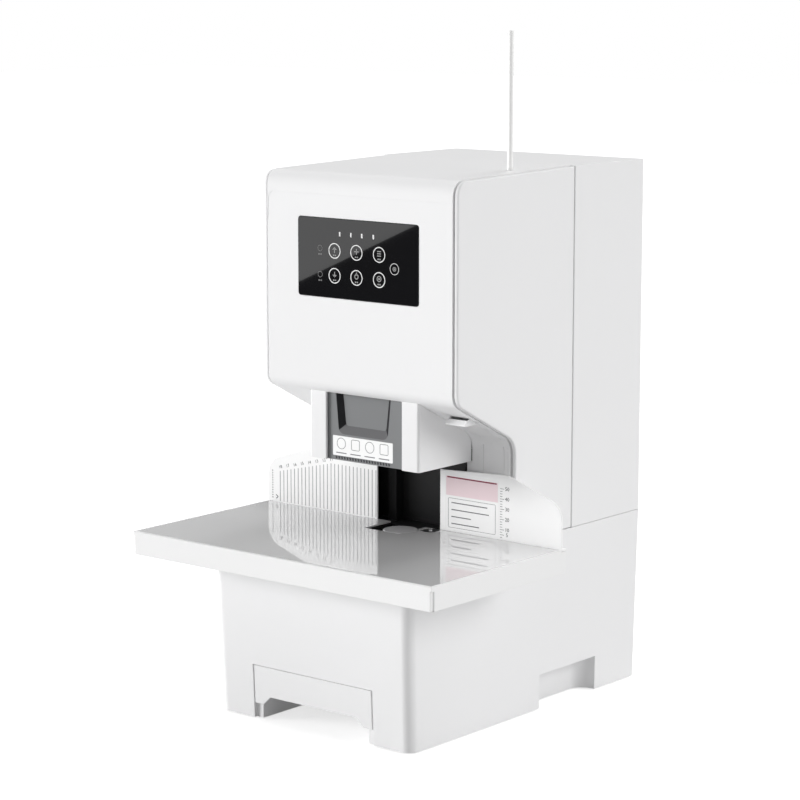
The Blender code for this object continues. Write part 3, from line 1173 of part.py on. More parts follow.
def build_drill():
    axis = (DRILL_X, DRILL_Y)
    chuck_high = CHUCK_Z + CHUCK_LENGTH
    disc("drill_spindle", axis, "Z",
         [(CHUCK_Z, CHUCK_RADIUS - PULLEY_LIP), (CHUCK_Z + PULLEY_LIP, CHUCK_RADIUS),
          (chuck_high, CHUCK_RADIUS), (chuck_high, SPINDLE_RADIUS),
          (CARRIAGE_TOP_Z + SPINDLE_TOP, SPINDLE_RADIUS)], STEEL)
    pulley("spindle_pulley", axis, SPINDLE_PULLEY_RADIUS, SPINDLE_RADIUS + SEAT_GAP, PULLEY_Z)
    shank_high = CHUCK_Z - SEAT_GAP
    outer = [(BIT_TIP_Z, BIT_LIP), (BIT_TIP_Z + BIT_LIP, BIT_RADIUS),
             (shank_high - BIT_SHANK_LENGTH, BIT_RADIUS), (shank_high - BIT_SHANK_LENGTH, BIT_SHANK_RADIUS),
             (shank_high, BIT_SHANK_RADIUS), (shank_high, BIT_BORE), (BIT_TIP_Z, BIT_BORE)]
    rings = [[place("Z", along, point) for point in circle(axis, size, PIN_SIDES)] for along, size in outer]
    solid("drill_bit", rings, STEEL, closed=True)
    motor_axis = (DRILL_MOTOR_X, DRILL_MOTOR_Y)
    pulley_node = pulley("motor_pulley", motor_axis, MOTOR_PULLEY_RADIUS, MOTOR_PULLEY_BORE, PULLEY_Z)
    shaft = disc("shaft", motor_axis, "Z",
                 [(PULLEY_Z + PULLEY_FLANGE, MOTOR_SHAFT_RADIUS),
                  (CARRIAGE_TOP_Z - SEAT_GAP, MOTOR_SHAFT_RADIUS)], STEEL, PIN_SIDES)
    join(pulley_node, shaft)
    low = PULLEY_Z + PULLEY_FLANGE + SEAT_GAP
    high = PULLEY_Z + PULLEY_HEIGHT - PULLEY_FLANGE - SEAT_GAP
    arc_sides = DISC_SIDES // 2
    belt = [belt_points(motor_axis, MOTOR_PULLEY_RADIUS + SEAT_GAP + extra, axis,
                        SPINDLE_PULLEY_RADIUS + SEAT_GAP + extra, arc_sides)
            for extra in (BELT_THICKNESS, 0.0)]
    ring("drive_belt", belt[0], belt[1], "Z", low, high, RUBBER)


def build_feed():
    low = NOSE_PLATE_TOP_Z + SEAT_GAP
    high = ARM_TOP_Z - SEAT_GAP
    for name, x, y in (("feed_screw", FEED_SCREW_X, FEED_SCREW_Y), ("ram_screw", RAM_SCREW_X, RIVET_Y)):
        disc(name, (x, y), "Z", [(low, SCREW_RADIUS), (high, SCREW_RADIUS)], STEEL, PIN_SIDES)
    foot = ARM_TOP_Z + SEAT_GAP
    for name, x, y, radius, height in (
            ("feed_motor", FEED_SCREW_X, FEED_SCREW_Y, FEED_MOTOR_RADIUS, FEED_MOTOR_HEIGHT),
            ("ram_motor", RAM_SCREW_X, RIVET_Y, RAM_MOTOR_RADIUS, RAM_MOTOR_HEIGHT)):
        step = foot + height * GEARBOX_SHARE
        disc(name, (x, y), "Z",
             [(foot, radius), (step, radius), (step, radius * MOTOR_NECK_SHARE),
              (foot + height, radius * MOTOR_NECK_SHARE)], MOTOR_CAN)


def build_ram():
    centre = (RIVET_X, RIVET_Y)
    ram = disc("rivet_ram", centre, "Z", [(RAM_Z, RAM_RADIUS), (RAM_Z + RAM_LENGTH, RAM_RADIUS)], STEEL,
               PIN_SIDES)
    nut_low = RAM_Z + RAM_NUT_RISE
    nut = block((RIVET_X, RIVET_Y - RAM_NUT_HALF_DEPTH, nut_low),
                (RAM_SCREW_X + SCREW_RADIUS + RAM_NUT_MARGIN, RIVET_Y + RAM_NUT_HALF_DEPTH,
                 nut_low + RAM_NUT_THICKNESS))
    join(ram, nut)
    cut(ram, hole((RAM_SCREW_X, RIVET_Y), "Z", SCREW_RADIUS + RUNNING_GAP, nut_low - OVERRUN,
                  nut_low + RAM_NUT_THICKNESS + OVERRUN, PIN_SIDES))
    die = disc("rivet_die", centre, "Z",
               [(DIE_Z, DIE_RADIUS - PULLEY_LIP), (DIE_Z + PULLEY_LIP, DIE_RADIUS),
                (DIE_Z + DIE_HEIGHT, DIE_RADIUS)], BRASS)
    sleeve_low = DIE_Z + DIE_HEIGHT - HEATER_DROP
    sleeve = disc("sleeve", centre, "Z",
                  [(sleeve_low, HEATER_RADIUS), (sleeve_low + HEATER_HEIGHT, HEATER_RADIUS)], BRASS)
    join(die, sleeve)
    cut(die,
        hole(centre, "Z", RAM_RADIUS + SEAT_GAP, DIE_Z + DIE_HEIGHT,
             sleeve_low + HEATER_HEIGHT + OVERRUN, PIN_SIDES))


def press_pin_places():
    """Guide pins stand at the foot's front corners, clear of the chuck and the ram."""
    front = PRESS_FRONT_Y + FOOT_PIN_INSET
    return [(FOOT_PLATE_LEFT_X + FOOT_PIN_INSET, front), (FOOT_PLATE_RIGHT_X - FOOT_PIN_INSET, front)]


def build_press_foot():
    foot = box("press_foot", (FOOT_PLATE_LEFT_X, PRESS_FRONT_Y, PRESS_Z),
               (FOOT_PLATE_RIGHT_X, PRESS_REAR_Y, PRESS_TOP_Z), BLACK_ABS)
    pins = [disc("pin", centre, "Z", [(PRESS_Z + FOOT_PLATE_SHEET / 2, FOOT_PIN_RADIUS),
                                      (PRESS_TOP_Z + FOOT_PIN_RISE, FOOT_PIN_RADIUS)], STEEL, PIN_SIDES)
            for centre in press_pin_places()]
    join(foot, *pins)
    cut(foot,
        hole((DRILL_X, DRILL_Y), "Z", FOOT_BIT_HOLE, PRESS_Z - OVERRUN, PRESS_TOP_Z + OVERRUN,
             PIN_SIDES),
        hole((RIVET_X, RIVET_Y), "Z", HEATER_RADIUS + SEAM_GAP, PRESS_Z - OVERRUN,
             PRESS_TOP_Z + OVERRUN))


# Nylon tube, feeder, cutter and chute

def build_feeder():
    right = HEAD_HALF - BRACKET_RIGHT_MARGIN
    bracket = box("feeder_bracket", (BACK_PLATE_HALF - BRACKET_LAP, BRACKET_Y, BRACKET_Z),
                  (right, BRACKET_Y + BRACKET_SHEET, BRACKET_TOP_Z), ZINC)
    drive_x = TUBE_X - TUBE_RADIUS - SEAT_GAP - DRIVE_ROLLER_RADIUS
    pinch_x = TUBE_X + TUBE_RADIUS + SEAT_GAP + PINCH_ROLLER_RADIUS
    tools = [hole((x, ROLLER_Z), "Y", ROLLER_SHAFT_RADIUS + RUNNING_GAP, BRACKET_Y - OVERRUN,
                  BRACKET_Y + BRACKET_SHEET + OVERRUN, PIN_SIDES) for x in (drive_x, pinch_x)]
    cut(bracket, *tools)
    guide_top = LID_Z - GUIDE_TOP_DROP
    bore = (TUBE_X, TUBE_Y)
    guide = box("tube_guide", (TUBE_X - GUIDE_HALF, TUBE_Y - GUIDE_FRONT, guide_top - GUIDE_HEIGHT),
                (TUBE_X + GUIDE_HALF, BRACKET_Y - SEAT_GAP, guide_top), BLACK_ABS)
    cut(guide,
        hole(bore, "Z", TUBE_GUIDE_BORE, guide_top - GUIDE_HEIGHT - OVERRUN, guide_top + OVERRUN,
             PIN_SIDES))
    bush("nylon_tube", bore, "Z", TUBE_RADIUS, TUBE_BORE, CUT_Z, CUT_Z + TUBE_LENGTH, NYLON, PIN_SIDES)
    roller_front = TUBE_Y - ROLLER_WIDTH / 2
    roller_rear = TUBE_Y + ROLLER_WIDTH / 2
    shaft_rear = BRACKET_Y + BRACKET_SHEET
    for name, x, radius, material in (("drive_roller", drive_x, DRIVE_ROLLER_RADIUS, RUBBER),
                                      ("pinch_roller", pinch_x, PINCH_ROLLER_RADIUS, STEEL)):
        disc(name, (x, ROLLER_Z), "Y",
             [(roller_front, radius), (roller_rear, radius), (roller_rear, ROLLER_SHAFT_RADIUS),
              (shaft_rear, ROLLER_SHAFT_RADIUS)], material)
    motor_front = shaft_rear + SEAT_GAP
    disc("feeder_motor", (drive_x, ROLLER_Z), "Y",
         [(motor_front, FEEDER_MOTOR_RADIUS), (motor_front + FEEDER_MOTOR_LENGTH, FEEDER_MOTOR_RADIUS)],
         MOTOR_CAN)


def build_cutter():
    wall = BRACKET_Y - SEAT_GAP
    die_block = box("cutter_die", (TUBE_X - DIE_BLOCK_HALF, TUBE_Y - DIE_BLOCK_HALF, DIE_BLOCK_Z),
                    (TUBE_X + DIE_BLOCK_HALF, wall, DIE_BLOCK_Z + DIE_BLOCK_HEIGHT), STEEL)
    bore_low = DIE_BLOCK_Z - OVERRUN
    cut(die_block,
        hole((TUBE_X, TUBE_Y), "Z", TUBE_GUIDE_BORE, bore_low, DIE_BLOCK_Z + DIE_BLOCK_HEIGHT + OVERRUN,
             PIN_SIDES))
    shelf_front = wall - CUTTER_SHELF_DEPTH
    shelf = box("cutter_base", (TUBE_X - CUTTER_SHELF_HALF, shelf_front, CUTTER_SHELF_Z),
                (TUBE_X + CUTTER_SHELF_HALF, wall, CUTTER_SHELF_Z + CUTTER_SHELF), ZINC)
    rest_front = BLADE_EDGE_Y - BLADE_LENGTH + BLADE_SHEET + BLADE_TRAVEL + SEAT_GAP
    rest = block((TUBE_X - DIE_BLOCK_HALF, rest_front, CUTTER_SHELF_Z + CUTTER_SHELF / 2),
                 (TUBE_X + DIE_BLOCK_HALF, wall, CUTTER_GUIDE_Z + CUTTER_GUIDE_HEIGHT))
    join(shelf, rest)
    cut(shelf, hole((TUBE_X, TUBE_Y), "Z", TUBE_GUIDE_BORE + SEAM_GAP, CUTTER_SHELF_Z - OVERRUN,
                    CUTTER_GUIDE_Z + CUTTER_GUIDE_HEIGHT + OVERRUN, PIN_SIDES))
    blade_front = BLADE_EDGE_Y - BLADE_LENGTH
    blade = box("cutter_blade", (TUBE_X - BLADE_HALF, blade_front, BLADE_Z),
                (TUBE_X + BLADE_HALF, BLADE_EDGE_Y, BLADE_Z + BLADE_SHEET), STEEL)
    plunger_z = BLADE_Z + BLADE_SHEET / 2
    plunger = disc("plunger", (TUBE_X, plunger_z), "Y",
                   [(blade_front - PLUNGER_LENGTH, PLUNGER_RADIUS),
                    (blade_front + BLADE_SHEET, PLUNGER_RADIUS)], STEEL, PIN_SIDES)
    join(blade, plunger)
    solenoid_rear = blade_front - RETURN_SPRING_ROOM
    solenoid_low = CUTTER_SHELF_Z + CUTTER_SHELF + SEAT_GAP
    solenoid = box("cutter_solenoid",
                   (TUBE_X - SOLENOID_HALF, solenoid_rear - SOLENOID_LENGTH, solenoid_low),
                   (TUBE_X + SOLENOID_HALF, solenoid_rear, solenoid_low + SOLENOID_HEIGHT), MOTOR_CAN)
    cut(solenoid, hole((TUBE_X, plunger_z), "Y", PLUNGER_RADIUS + RUNNING_GAP,
                       solenoid_rear - SOLENOID_LENGTH - OVERRUN, solenoid_rear + OVERRUN, PIN_SIDES))


def chute_corners(floor):
    """Side view of the trough: the whole body, or the hollow above a floor of the given thickness."""
    back = TUBE_Y + CHUTE_BACK_MARGIN
    top = CUTTER_SHELF_Z - SEAT_GAP
    foot = SLOT_REAR_Y - LIP_REAR_GAP
    ridge_y = LIP_Y + RAMP_RUN
    ridge_z = LIP_Z + CHUTE_WALL + RAMP_RISE
    if floor == 0:
        return [(LIP_Y, LIP_Z, 0.0), (foot, LIP_Z, 0.0), (back, LIP_Z + CHUTE_BACK_RISE, 0.0),
                (back, top, 0.0), (TUBE_Y - CHUTE_BACK_MARGIN, top, 0.0),
                (TUBE_Y - CHUTE_BACK_MARGIN, LIP_Z + CHUTE_BACK_RISE + CHUTE_WALL_RISE / 2, 0.0),
                (SLOT_FRONT_Y + CHUTE_WALL, slope_z(SLOT_FRONT_Y + CHUTE_WALL), 0.0),
                (ridge_y, ridge_z, 0.0), (LIP_Y, LIP_Z + CHUTE_WALL, 0.0)]
    # Behind the ramp's ridge the floor drops into a pocket
    return [(ridge_y, ridge_z, 0.0), (ridge_y + floor * 2, LIP_Z + floor, 0.0),
            (foot - floor / 2, LIP_Z + floor, 0.0),
            (back - floor, LIP_Z + CHUTE_BACK_RISE + floor / 2, 0.0), (back - floor, top + OVERRUN, 0.0),
            (TUBE_Y - CHUTE_BACK_MARGIN - OVERRUN, top + OVERRUN, 0.0), (ridge_y, top + OVERRUN, 0.0)]


def build_chute():
    body = prism("outlet_chute", rounded(chute_corners(0.0)), "X", CHUTE_X - CHUTE_HALF,
                 CHUTE_X + CHUTE_HALF, WHITE_ABS)
    hollow = prism("hollow", rounded(chute_corners(CHUTE_WALL)), "X", CHUTE_X - CHUTE_HALF + CHUTE_WALL,
                   CHUTE_X + CHUTE_HALF - CHUTE_WALL, WHITE_ABS)
    cut(body, hollow)


# Electronics, inlet and switch

def rear_fitting_z():
    return FOOT_PROUD + INLET_RISE


def build_electronics():
    face = BACK_PLATE_Y + BACK_PLATE_SHEET + SEAT_GAP
    board_front = face + STANDOFF_LENGTH
    low = DECK_Z + MAIN_BOARD_RISE
    high = low + MAIN_BOARD_HEIGHT
    board = box("main_board", (-MAIN_BOARD_HALF, board_front, low),
                (MAIN_BOARD_HALF, board_front + BOARD_SHEET, high), BOARD_GREEN)
    added = []
    for side in (-1, 1):
        for level in (low + STANDOFF_INSET, high - STANDOFF_INSET):
            added.append(disc("standoff", (side * (MAIN_BOARD_HALF - STANDOFF_INSET), level), "Y",
                              [(face, STANDOFF_RADIUS),
                               (board_front + BOARD_SHEET / 2, STANDOFF_RADIUS)], BRASS, 6))
    back = board_front + BOARD_SHEET / 2
    middle = (low + high) / 2
    added.append(block((-CHIP_SIZE / 2, back, middle - CHIP_SIZE / 2),
                       (CHIP_SIZE / 2, board_front + BOARD_SHEET + CHIP_HEIGHT, middle + CHIP_SIZE / 2)))
    for step in (-1, 0, 1):
        centre = step * CHIP_SIZE
        added.append(block((centre - CHIP_SIZE / 3, back, low + STANDOFF_INSET * 2),
                           (centre + CHIP_SIZE / 3, board_front + BOARD_SHEET + RELAY_HEIGHT,
                            low + STANDOFF_INSET * 2 + CHIP_SIZE / 2)))
    join(board, *added)
    front = BACK_PLATE_Y + BACK_PLATE_SHEET + BACK_FLANGE_DEPTH + SUPPLY_FRONT_GAP
    seat = CHASSIS_TOP_Z + SEAT_GAP
    box("power_supply", (SUPPLY_X - SUPPLY_WIDTH / 2, front, seat),
        (SUPPLY_X + SUPPLY_WIDTH / 2, REAR_Y - SUPPLY_REAR_MARGIN, seat + SUPPLY_HEIGHT), ZINC)


def build_inlet():
    """A recessed mains inlet: flange, socket cavity and three contact pins in one body."""
    centre = rear_fitting_z()
    wall = base_corners(centre - INLET_HEIGHT / 2)[2][1]
    high_wall = base_corners(centre + INLET_HEIGHT / 2 + INLET_FLANGE)[2][1]
    face = high_wall + SEAT_GAP
    body = box("power_inlet",
               (INLET_X - INLET_WIDTH / 2, wall - INLET_DEPTH, centre - INLET_HEIGHT / 2),
               (INLET_X + INLET_WIDTH / 2, face + INLET_FLANGE_SHEET / 2, centre + INLET_HEIGHT / 2),
               BLACK_ABS)
    flange = block((INLET_X - INLET_WIDTH / 2 - INLET_FLANGE, face,
                    centre - INLET_HEIGHT / 2 - INLET_FLANGE),
                   (INLET_X + INLET_WIDTH / 2 + INLET_FLANGE, face + INLET_FLANGE_SHEET,
                    centre + INLET_HEIGHT / 2 + INLET_FLANGE))
    join(body, flange)
    cut(body, block((INLET_X - INLET_WIDTH / 2 + INLET_WALL, wall - INLET_DEPTH + INLET_WALL,
                     centre - INLET_HEIGHT / 2 + INLET_WALL),
                    (INLET_X + INLET_WIDTH / 2 - INLET_WALL, face + INLET_FLANGE_SHEET + OVERRUN,
                     centre + INLET_HEIGHT / 2 - INLET_WALL)))
    pins = []
    for across, up in INLET_PIN_SHARES:
        pins.append(disc("pin", (INLET_X + across * INLET_WIDTH, centre + up * INLET_HEIGHT), "Y",
                         [(wall - INLET_DEPTH + INLET_WALL / 2, INLET_PIN_RADIUS),
                          (wall - INLET_WALL, INLET_PIN_RADIUS)], BRASS, 6))
    join(body, *pins)


def build_switch():
    centre = rear_fitting_z()
    wall = base_corners(centre - SWITCH_HEIGHT / 2)[2][1]
    face = base_corners(centre + SWITCH_HEIGHT / 2 + SWITCH_FLANGE)[2][1] + SEAT_GAP
    front = wall - SWITCH_DEPTH
    frame = box("switch_frame", (SWITCH_X - SWITCH_WIDTH / 2, front, centre - SWITCH_HEIGHT / 2),
                (SWITCH_X + SWITCH_WIDTH / 2, face, centre + SWITCH_HEIGHT / 2), BLACK_ABS)
    flange = block((SWITCH_X - SWITCH_WIDTH / 2 - SWITCH_FLANGE, face,
                    centre - SWITCH_HEIGHT / 2 - SWITCH_FLANGE),
                   (SWITCH_X + SWITCH_WIDTH / 2 + SWITCH_FLANGE, face + SWITCH_FLANGE / 2,
                    centre + SWITCH_HEIGHT / 2 + SWITCH_FLANGE))
    rim = block((SWITCH_X - SWITCH_WIDTH / 2, face - SWITCH_WALL, centre - SWITCH_HEIGHT / 2),
                (SWITCH_X + SWITCH_WIDTH / 2, face + SWITCH_FLANGE / 2, centre + SWITCH_HEIGHT / 2))
    join(frame, flange, rim)
    cut(frame, block((SWITCH_X - SWITCH_WIDTH / 2 + SWITCH_WALL, front + SWITCH_WALL,
                      centre - SWITCH_HEIGHT / 2 + SWITCH_WALL),
                     (SWITCH_X + SWITCH_WIDTH / 2 - SWITCH_WALL, face + OVERRUN,
                      centre + SWITCH_HEIGHT / 2 - SWITCH_WALL)))
    half = SWITCH_HEIGHT / 2 - SWITCH_WALL - ROCKER_GAP
    pivot_y = face - ROCKER_DEPTH / 2
    outline = [(pivot_y - ROCKER_DEPTH / 2, centre - half / 2),
               (face + ROCKER_PROUD - ROCKER_DIP, centre - half),
               (face + ROCKER_PROUD - ROCKER_DIP / 2, centre), (face + ROCKER_PROUD, centre + half),
               (pivot_y - ROCKER_DEPTH / 2, centre + half / 2)]
    rocker_half = SWITCH_WIDTH / 2 - SWITCH_WALL - ROCKER_GAP
    prism("power_rocker", [Vector(point) for point in outline], "X", SWITCH_X - rocker_half,
          SWITCH_X + rocker_half, BLACK_ABS)


build_base()
build_feet()
build_drawer()
build_chassis()
build_table()
build_fences()
build_throat()
build_chip_chute()
build_front_cover()
build_cheeks()
build_rear_cover()
build_nose()
build_guard()
build_panel()
build_frame()
build_carriage()
build_drill()
build_feed()
build_ram()
build_press_foot()
build_feeder()
build_cutter()
build_chute()
build_electronics()
build_inlet()
build_switch()
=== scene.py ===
# Desk machine that drills a stack of paper and rivets it with a nylon tube.
# Looks around the fixed frame: every piece is placed from the frame's own boxes.
import json
import math

import bmesh
import bpy
from mathutils import Matrix, Vector


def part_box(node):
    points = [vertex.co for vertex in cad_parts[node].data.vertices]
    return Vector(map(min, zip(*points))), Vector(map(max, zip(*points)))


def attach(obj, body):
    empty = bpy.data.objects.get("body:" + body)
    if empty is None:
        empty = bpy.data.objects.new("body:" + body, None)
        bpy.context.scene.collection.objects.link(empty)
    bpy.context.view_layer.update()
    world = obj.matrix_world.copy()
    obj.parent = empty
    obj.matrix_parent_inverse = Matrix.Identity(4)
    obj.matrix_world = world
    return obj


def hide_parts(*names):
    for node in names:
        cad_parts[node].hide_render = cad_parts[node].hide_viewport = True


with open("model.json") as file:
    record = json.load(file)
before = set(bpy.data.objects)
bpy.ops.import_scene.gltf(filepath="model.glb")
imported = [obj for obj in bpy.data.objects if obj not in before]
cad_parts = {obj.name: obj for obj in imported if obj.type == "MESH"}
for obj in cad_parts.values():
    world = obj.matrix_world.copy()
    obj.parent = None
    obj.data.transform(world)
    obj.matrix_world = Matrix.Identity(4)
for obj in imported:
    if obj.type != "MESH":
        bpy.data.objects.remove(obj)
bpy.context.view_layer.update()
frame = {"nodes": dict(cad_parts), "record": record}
MM = 0.001


# Camera: stands to the machine's front right, a little above the head.
# Its place and lens were fitted to the machine's straight edges.
CAMERA_PLACE = Vector((1619.2, -1993.2, 727.6)) * MM
CAMERA_AZIMUTH = 39.496
CAMERA_PITCH = 9.363
CAMERA_LENS = 118.82
camera = bpy.data.objects.new("camera", bpy.data.cameras.new("camera"))
camera.data.lens = CAMERA_LENS
camera.data.sensor_width = 36.0
camera.data.clip_end = 60.0
camera.location = CAMERA_PLACE
camera.rotation_euler = (math.radians(90.0 - CAMERA_PITCH), 0.0, math.radians(CAMERA_AZIMUTH))
bpy.context.scene.collection.objects.link(camera)
bpy.context.scene.camera = camera
bpy.context.scene.view_settings.view_transform = "Standard"


# Studio: a white floor, an even pale surround and three broad lamps.
# One lamp stands low at the front left, one at the right and one high behind, so the
# corners between them fall darker.
class Value:
    """A node's output; arithmetic on it adds Math nodes."""

    def __init__(self, finish, socket):
        self.finish = finish
        self.socket = socket

    def math(self, operation, first, second):
        return self.finish.node("ShaderNodeMath", {"operation": operation}, {0: first, 1: second})

    def __add__(self, other):
        return self.math("ADD", self, other)

    def __radd__(self, other):
        return self.math("ADD", other, self)

    def __mul__(self, other):
        return self.math("MULTIPLY", self, other)

    def __rmul__(self, other):
        return self.math("MULTIPLY", other, self)


class Finish:
    """A node tree being built; node() is the one way nodes are added."""

    def __init__(self, tree):
        self.tree = tree

    def node(self, kind, settings=None, inputs=None, output=0):
        made = self.tree.nodes.new(kind)
        for key, setting in (settings or {}).items():
            setattr(made, key, setting)
        for key, given in (inputs or {}).items():
            self.feed(made.inputs[key], given)
        return Value(self, made.outputs[output])

    def feed(self, socket, given):
        if isinstance(given, Value):
            self.tree.links.new(given.socket, socket)
        elif hasattr(socket.default_value, "__len__") and not hasattr(given, "__len__"):
            socket.default_value = [given] * 3 + [1.0] * (len(socket.default_value) - 3)
        else:
            socket.default_value = given

    def blend(self, mask, first, second):
        """Two colours mixed by a mask."""
        return self.node("ShaderNodeMix", {"data_type": "RGBA"}, {0: mask, 6: first, 7: second}, output=2)


FLOOR_SIZE = 12.0
FLOOR_TONE = 0.68
FLOOR_GLOW = 0.68
SURROUND_LEVEL = 0.30
REFLECTED_LEVEL = 0.45
# (name, azimuth from the front towards the right, elevation, strength, angular size)
LAMPS = (("key_lamp", -54.0, 7.0, 3.45, 26.0), ("rear_lamp", 112.0, 24.0, 1.42, 36.0),
         ("top_lamp", 180.0, 50.0, 1.48, 30.0))
# Corners of a black cloth on the floor, which the glass panel mirrors
CLOTH = ((-2.106, -2.117), (-3.351, -4.485), (-2.024, -5.182), (-0.779, -2.814))
CLOTH_RISE = 2.0 * MM
CLOTH_TONE = 0.01

world = bpy.data.worlds.new("surround")
bpy.context.scene.world = world
world.use_nodes = True
sky = Finish(world.node_tree)
sky_path = world.node_tree.nodes.new("ShaderNodeLightPath")
seen = Value(sky, sky_path.outputs["Is Camera Ray"])
mirrored = Value(sky, sky_path.outputs["Is Glossy Ray"])
sky_level = SURROUND_LEVEL + seen * (1.0 - SURROUND_LEVEL) + mirrored * (REFLECTED_LEVEL - SURROUND_LEVEL)
sky.feed(world.node_tree.nodes["Background"].inputs["Strength"], sky_level)
sky.feed(world.node_tree.nodes["Background"].inputs["Color"], (1.0, 1.0, 1.0, 1.0))

for name, azimuth, elevation, strength, size in LAMPS:
    lamp = bpy.data.objects.new(name, bpy.data.lights.new(name, "SUN"))
    lamp.data.energy = strength
    lamp.data.angle = math.radians(size)
    turn, lift = math.radians(azimuth), math.radians(elevation)
    towards = Vector((math.sin(turn) * math.cos(lift), -math.cos(turn) * math.cos(lift), math.sin(lift)))
    lamp.rotation_mode = "QUATERNION"
    lamp.rotation_quaternion = towards.to_track_quat("Z", "Y")
    lamp.visible_glossy = False
    bpy.context.scene.collection.objects.link(lamp)

floor_shape = bmesh.new()
bmesh.ops.create_grid(floor_shape, x_segments=1, y_segments=1, size=FLOOR_SIZE)
floor_mesh = bpy.data.meshes.new("floor")
floor_shape.to_mesh(floor_mesh)
floor_shape.free()
floor_material = bpy.data.materials.new("floor")
floor_material.use_nodes = True
paint = Finish(floor_material.node_tree)
shader = floor_material.node_tree.nodes["Principled BSDF"]
shader.inputs["Base Color"].default_value = (FLOOR_TONE, FLOOR_TONE, FLOOR_TONE, 1.0)
shader.inputs["Roughness"].default_value = 0.9
shader.inputs["Specular IOR Level"].default_value = 0.0
shader.inputs["Emission Color"].default_value = (1.0, 1.0, 1.0, 1.0)
floor_path = floor_material.node_tree.nodes.new("ShaderNodeLightPath")
floor_seen = Value(paint, floor_path.outputs["Is Camera Ray"])
floor_mirrored = Value(paint, floor_path.outputs["Is Glossy Ray"])
paint.feed(shader.inputs["Emission Strength"], (floor_seen + floor_mirrored) * FLOOR_GLOW)
floor_mesh.materials.append(floor_material)
floor = bpy.data.objects.new("floor", floor_mesh)
bpy.context.scene.collection.objects.link(floor)

cloth_mesh = bpy.data.meshes.new("black_cloth")
cloth_mesh.from_pydata([(x, y, CLOTH_RISE) for x, y in CLOTH], [], [tuple(range(len(CLOTH)))])
cloth_material = bpy.data.materials.new("black_cloth")
cloth_material.use_nodes = True
cloth_shader = cloth_material.node_tree.nodes["Principled BSDF"]
cloth_shader.inputs["Base Color"].default_value = (CLOTH_TONE, CLOTH_TONE, CLOTH_TONE, 1.0)
cloth_shader.inputs["Specular IOR Level"].default_value = 0.0
cloth_mesh.materials.append(cloth_material)
cloth = bpy.data.objects.new("black_cloth", cloth_mesh)
bpy.context.scene.collection.objects.link(cloth)
cloth.visible_camera = False
cloth.visible_diffuse = False
cloth.visible_shadow = False


# Base housing: one large moulding in white ABS with drafted walls.
# It stands open below; the low arch at the front and the side pockets are part of the tool.
WELD = 0.002 * MM
FLAT_ANGLE = 0.6
SHARP_ANGLE = 32.0
ROOM_SHARE = 0.42
ROUNDING_STEPS = 3
CLOUD_SCALE = 9.0
COAT_ROUGHNESS = 0.03
GRAIN_STRENGTH = 0.35


def surfaced(name, tone, roughness, grain, depth, metallic=0.0, spread=0.02, coat=0.0, specular=0.5):
    """A material with mottled colour and gloss and a fine grain of a given size and depth."""
    material = bpy.data.materials.new(name)
    material.use_nodes = True
    made = Finish(material.node_tree)
    place = made.node("ShaderNodeTexCoord", output=3)
    cloud = made.node("ShaderNodeTexNoise", {}, {"Vector": place, "Scale": CLOUD_SCALE, "Detail": 3.0})
    fine = made.node("ShaderNodeTexNoise", {}, {"Vector": place, "Scale": 1.0 / grain, "Detail": 2.0})
    dark = [channel * (1.0 - spread) for channel in tone] + [1.0]
    light = [min(channel * (1.0 + spread), 1.0) for channel in tone] + [1.0]
    principled = material.node_tree.nodes["Principled BSDF"]
    made.feed(principled.inputs["Base Color"], made.blend(cloud, dark, light))
    made.feed(principled.inputs["Roughness"], roughness * (0.9 + 0.2 * fine))
    made.feed(principled.inputs["Metallic"], metallic)
    made.feed(principled.inputs["Coat Weight"], coat)
    made.feed(principled.inputs["Coat Roughness"], COAT_ROUGHNESS)
    made.feed(principled.inputs["Specular IOR Level"], specular)
    grains = {"Strength": GRAIN_STRENGTH, "Distance": depth, "Height": fine}
    made.feed(principled.inputs["Normal"], made.node("ShaderNodeBump", {}, grains))
    return material


def shown(name, mesh, material, body):
    """A new piece that rides on a body."""
    piece = bpy.data.objects.new(name, mesh)
    bpy.context.scene.collection.objects.link(piece)
    mesh.materials.clear()
    mesh.materials.append(material)
    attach(piece, body)
    return piece


def merged(node):
    """The node's solid with welded corners and undivided flat faces."""
    source = frame["nodes"][node]
    shape = bmesh.new()
    shape.from_mesh(source.data)
    shape.transform(source.matrix_world)
    bmesh.ops.remove_doubles(shape, verts=shape.verts, dist=WELD)
    bmesh.ops.dissolve_limit(shape, angle_limit=math.radians(FLAT_ANGLE), verts=shape.verts,
                             edges=shape.edges)
    return shape


def applied(name, mesh, settings):
    """The mesh with modifiers worked in, given as their kind and settings."""
    carrier = bpy.data.objects.new(name + "_work", mesh)
    bpy.context.scene.collection.objects.link(carrier)
    for kind, values in settings:
        modifier = carrier.modifiers.new(kind.lower(), kind)
        for key, value in values.items():
            setattr(modifier, key, value)
    made = bpy.data.meshes.new_from_object(carrier.evaluated_get(bpy.context.evaluated_depsgraph_get()))
    made.name = name
    bpy.data.objects.remove(carrier, do_unlink=True)
    bpy.data.meshes.remove(mesh)
    return made


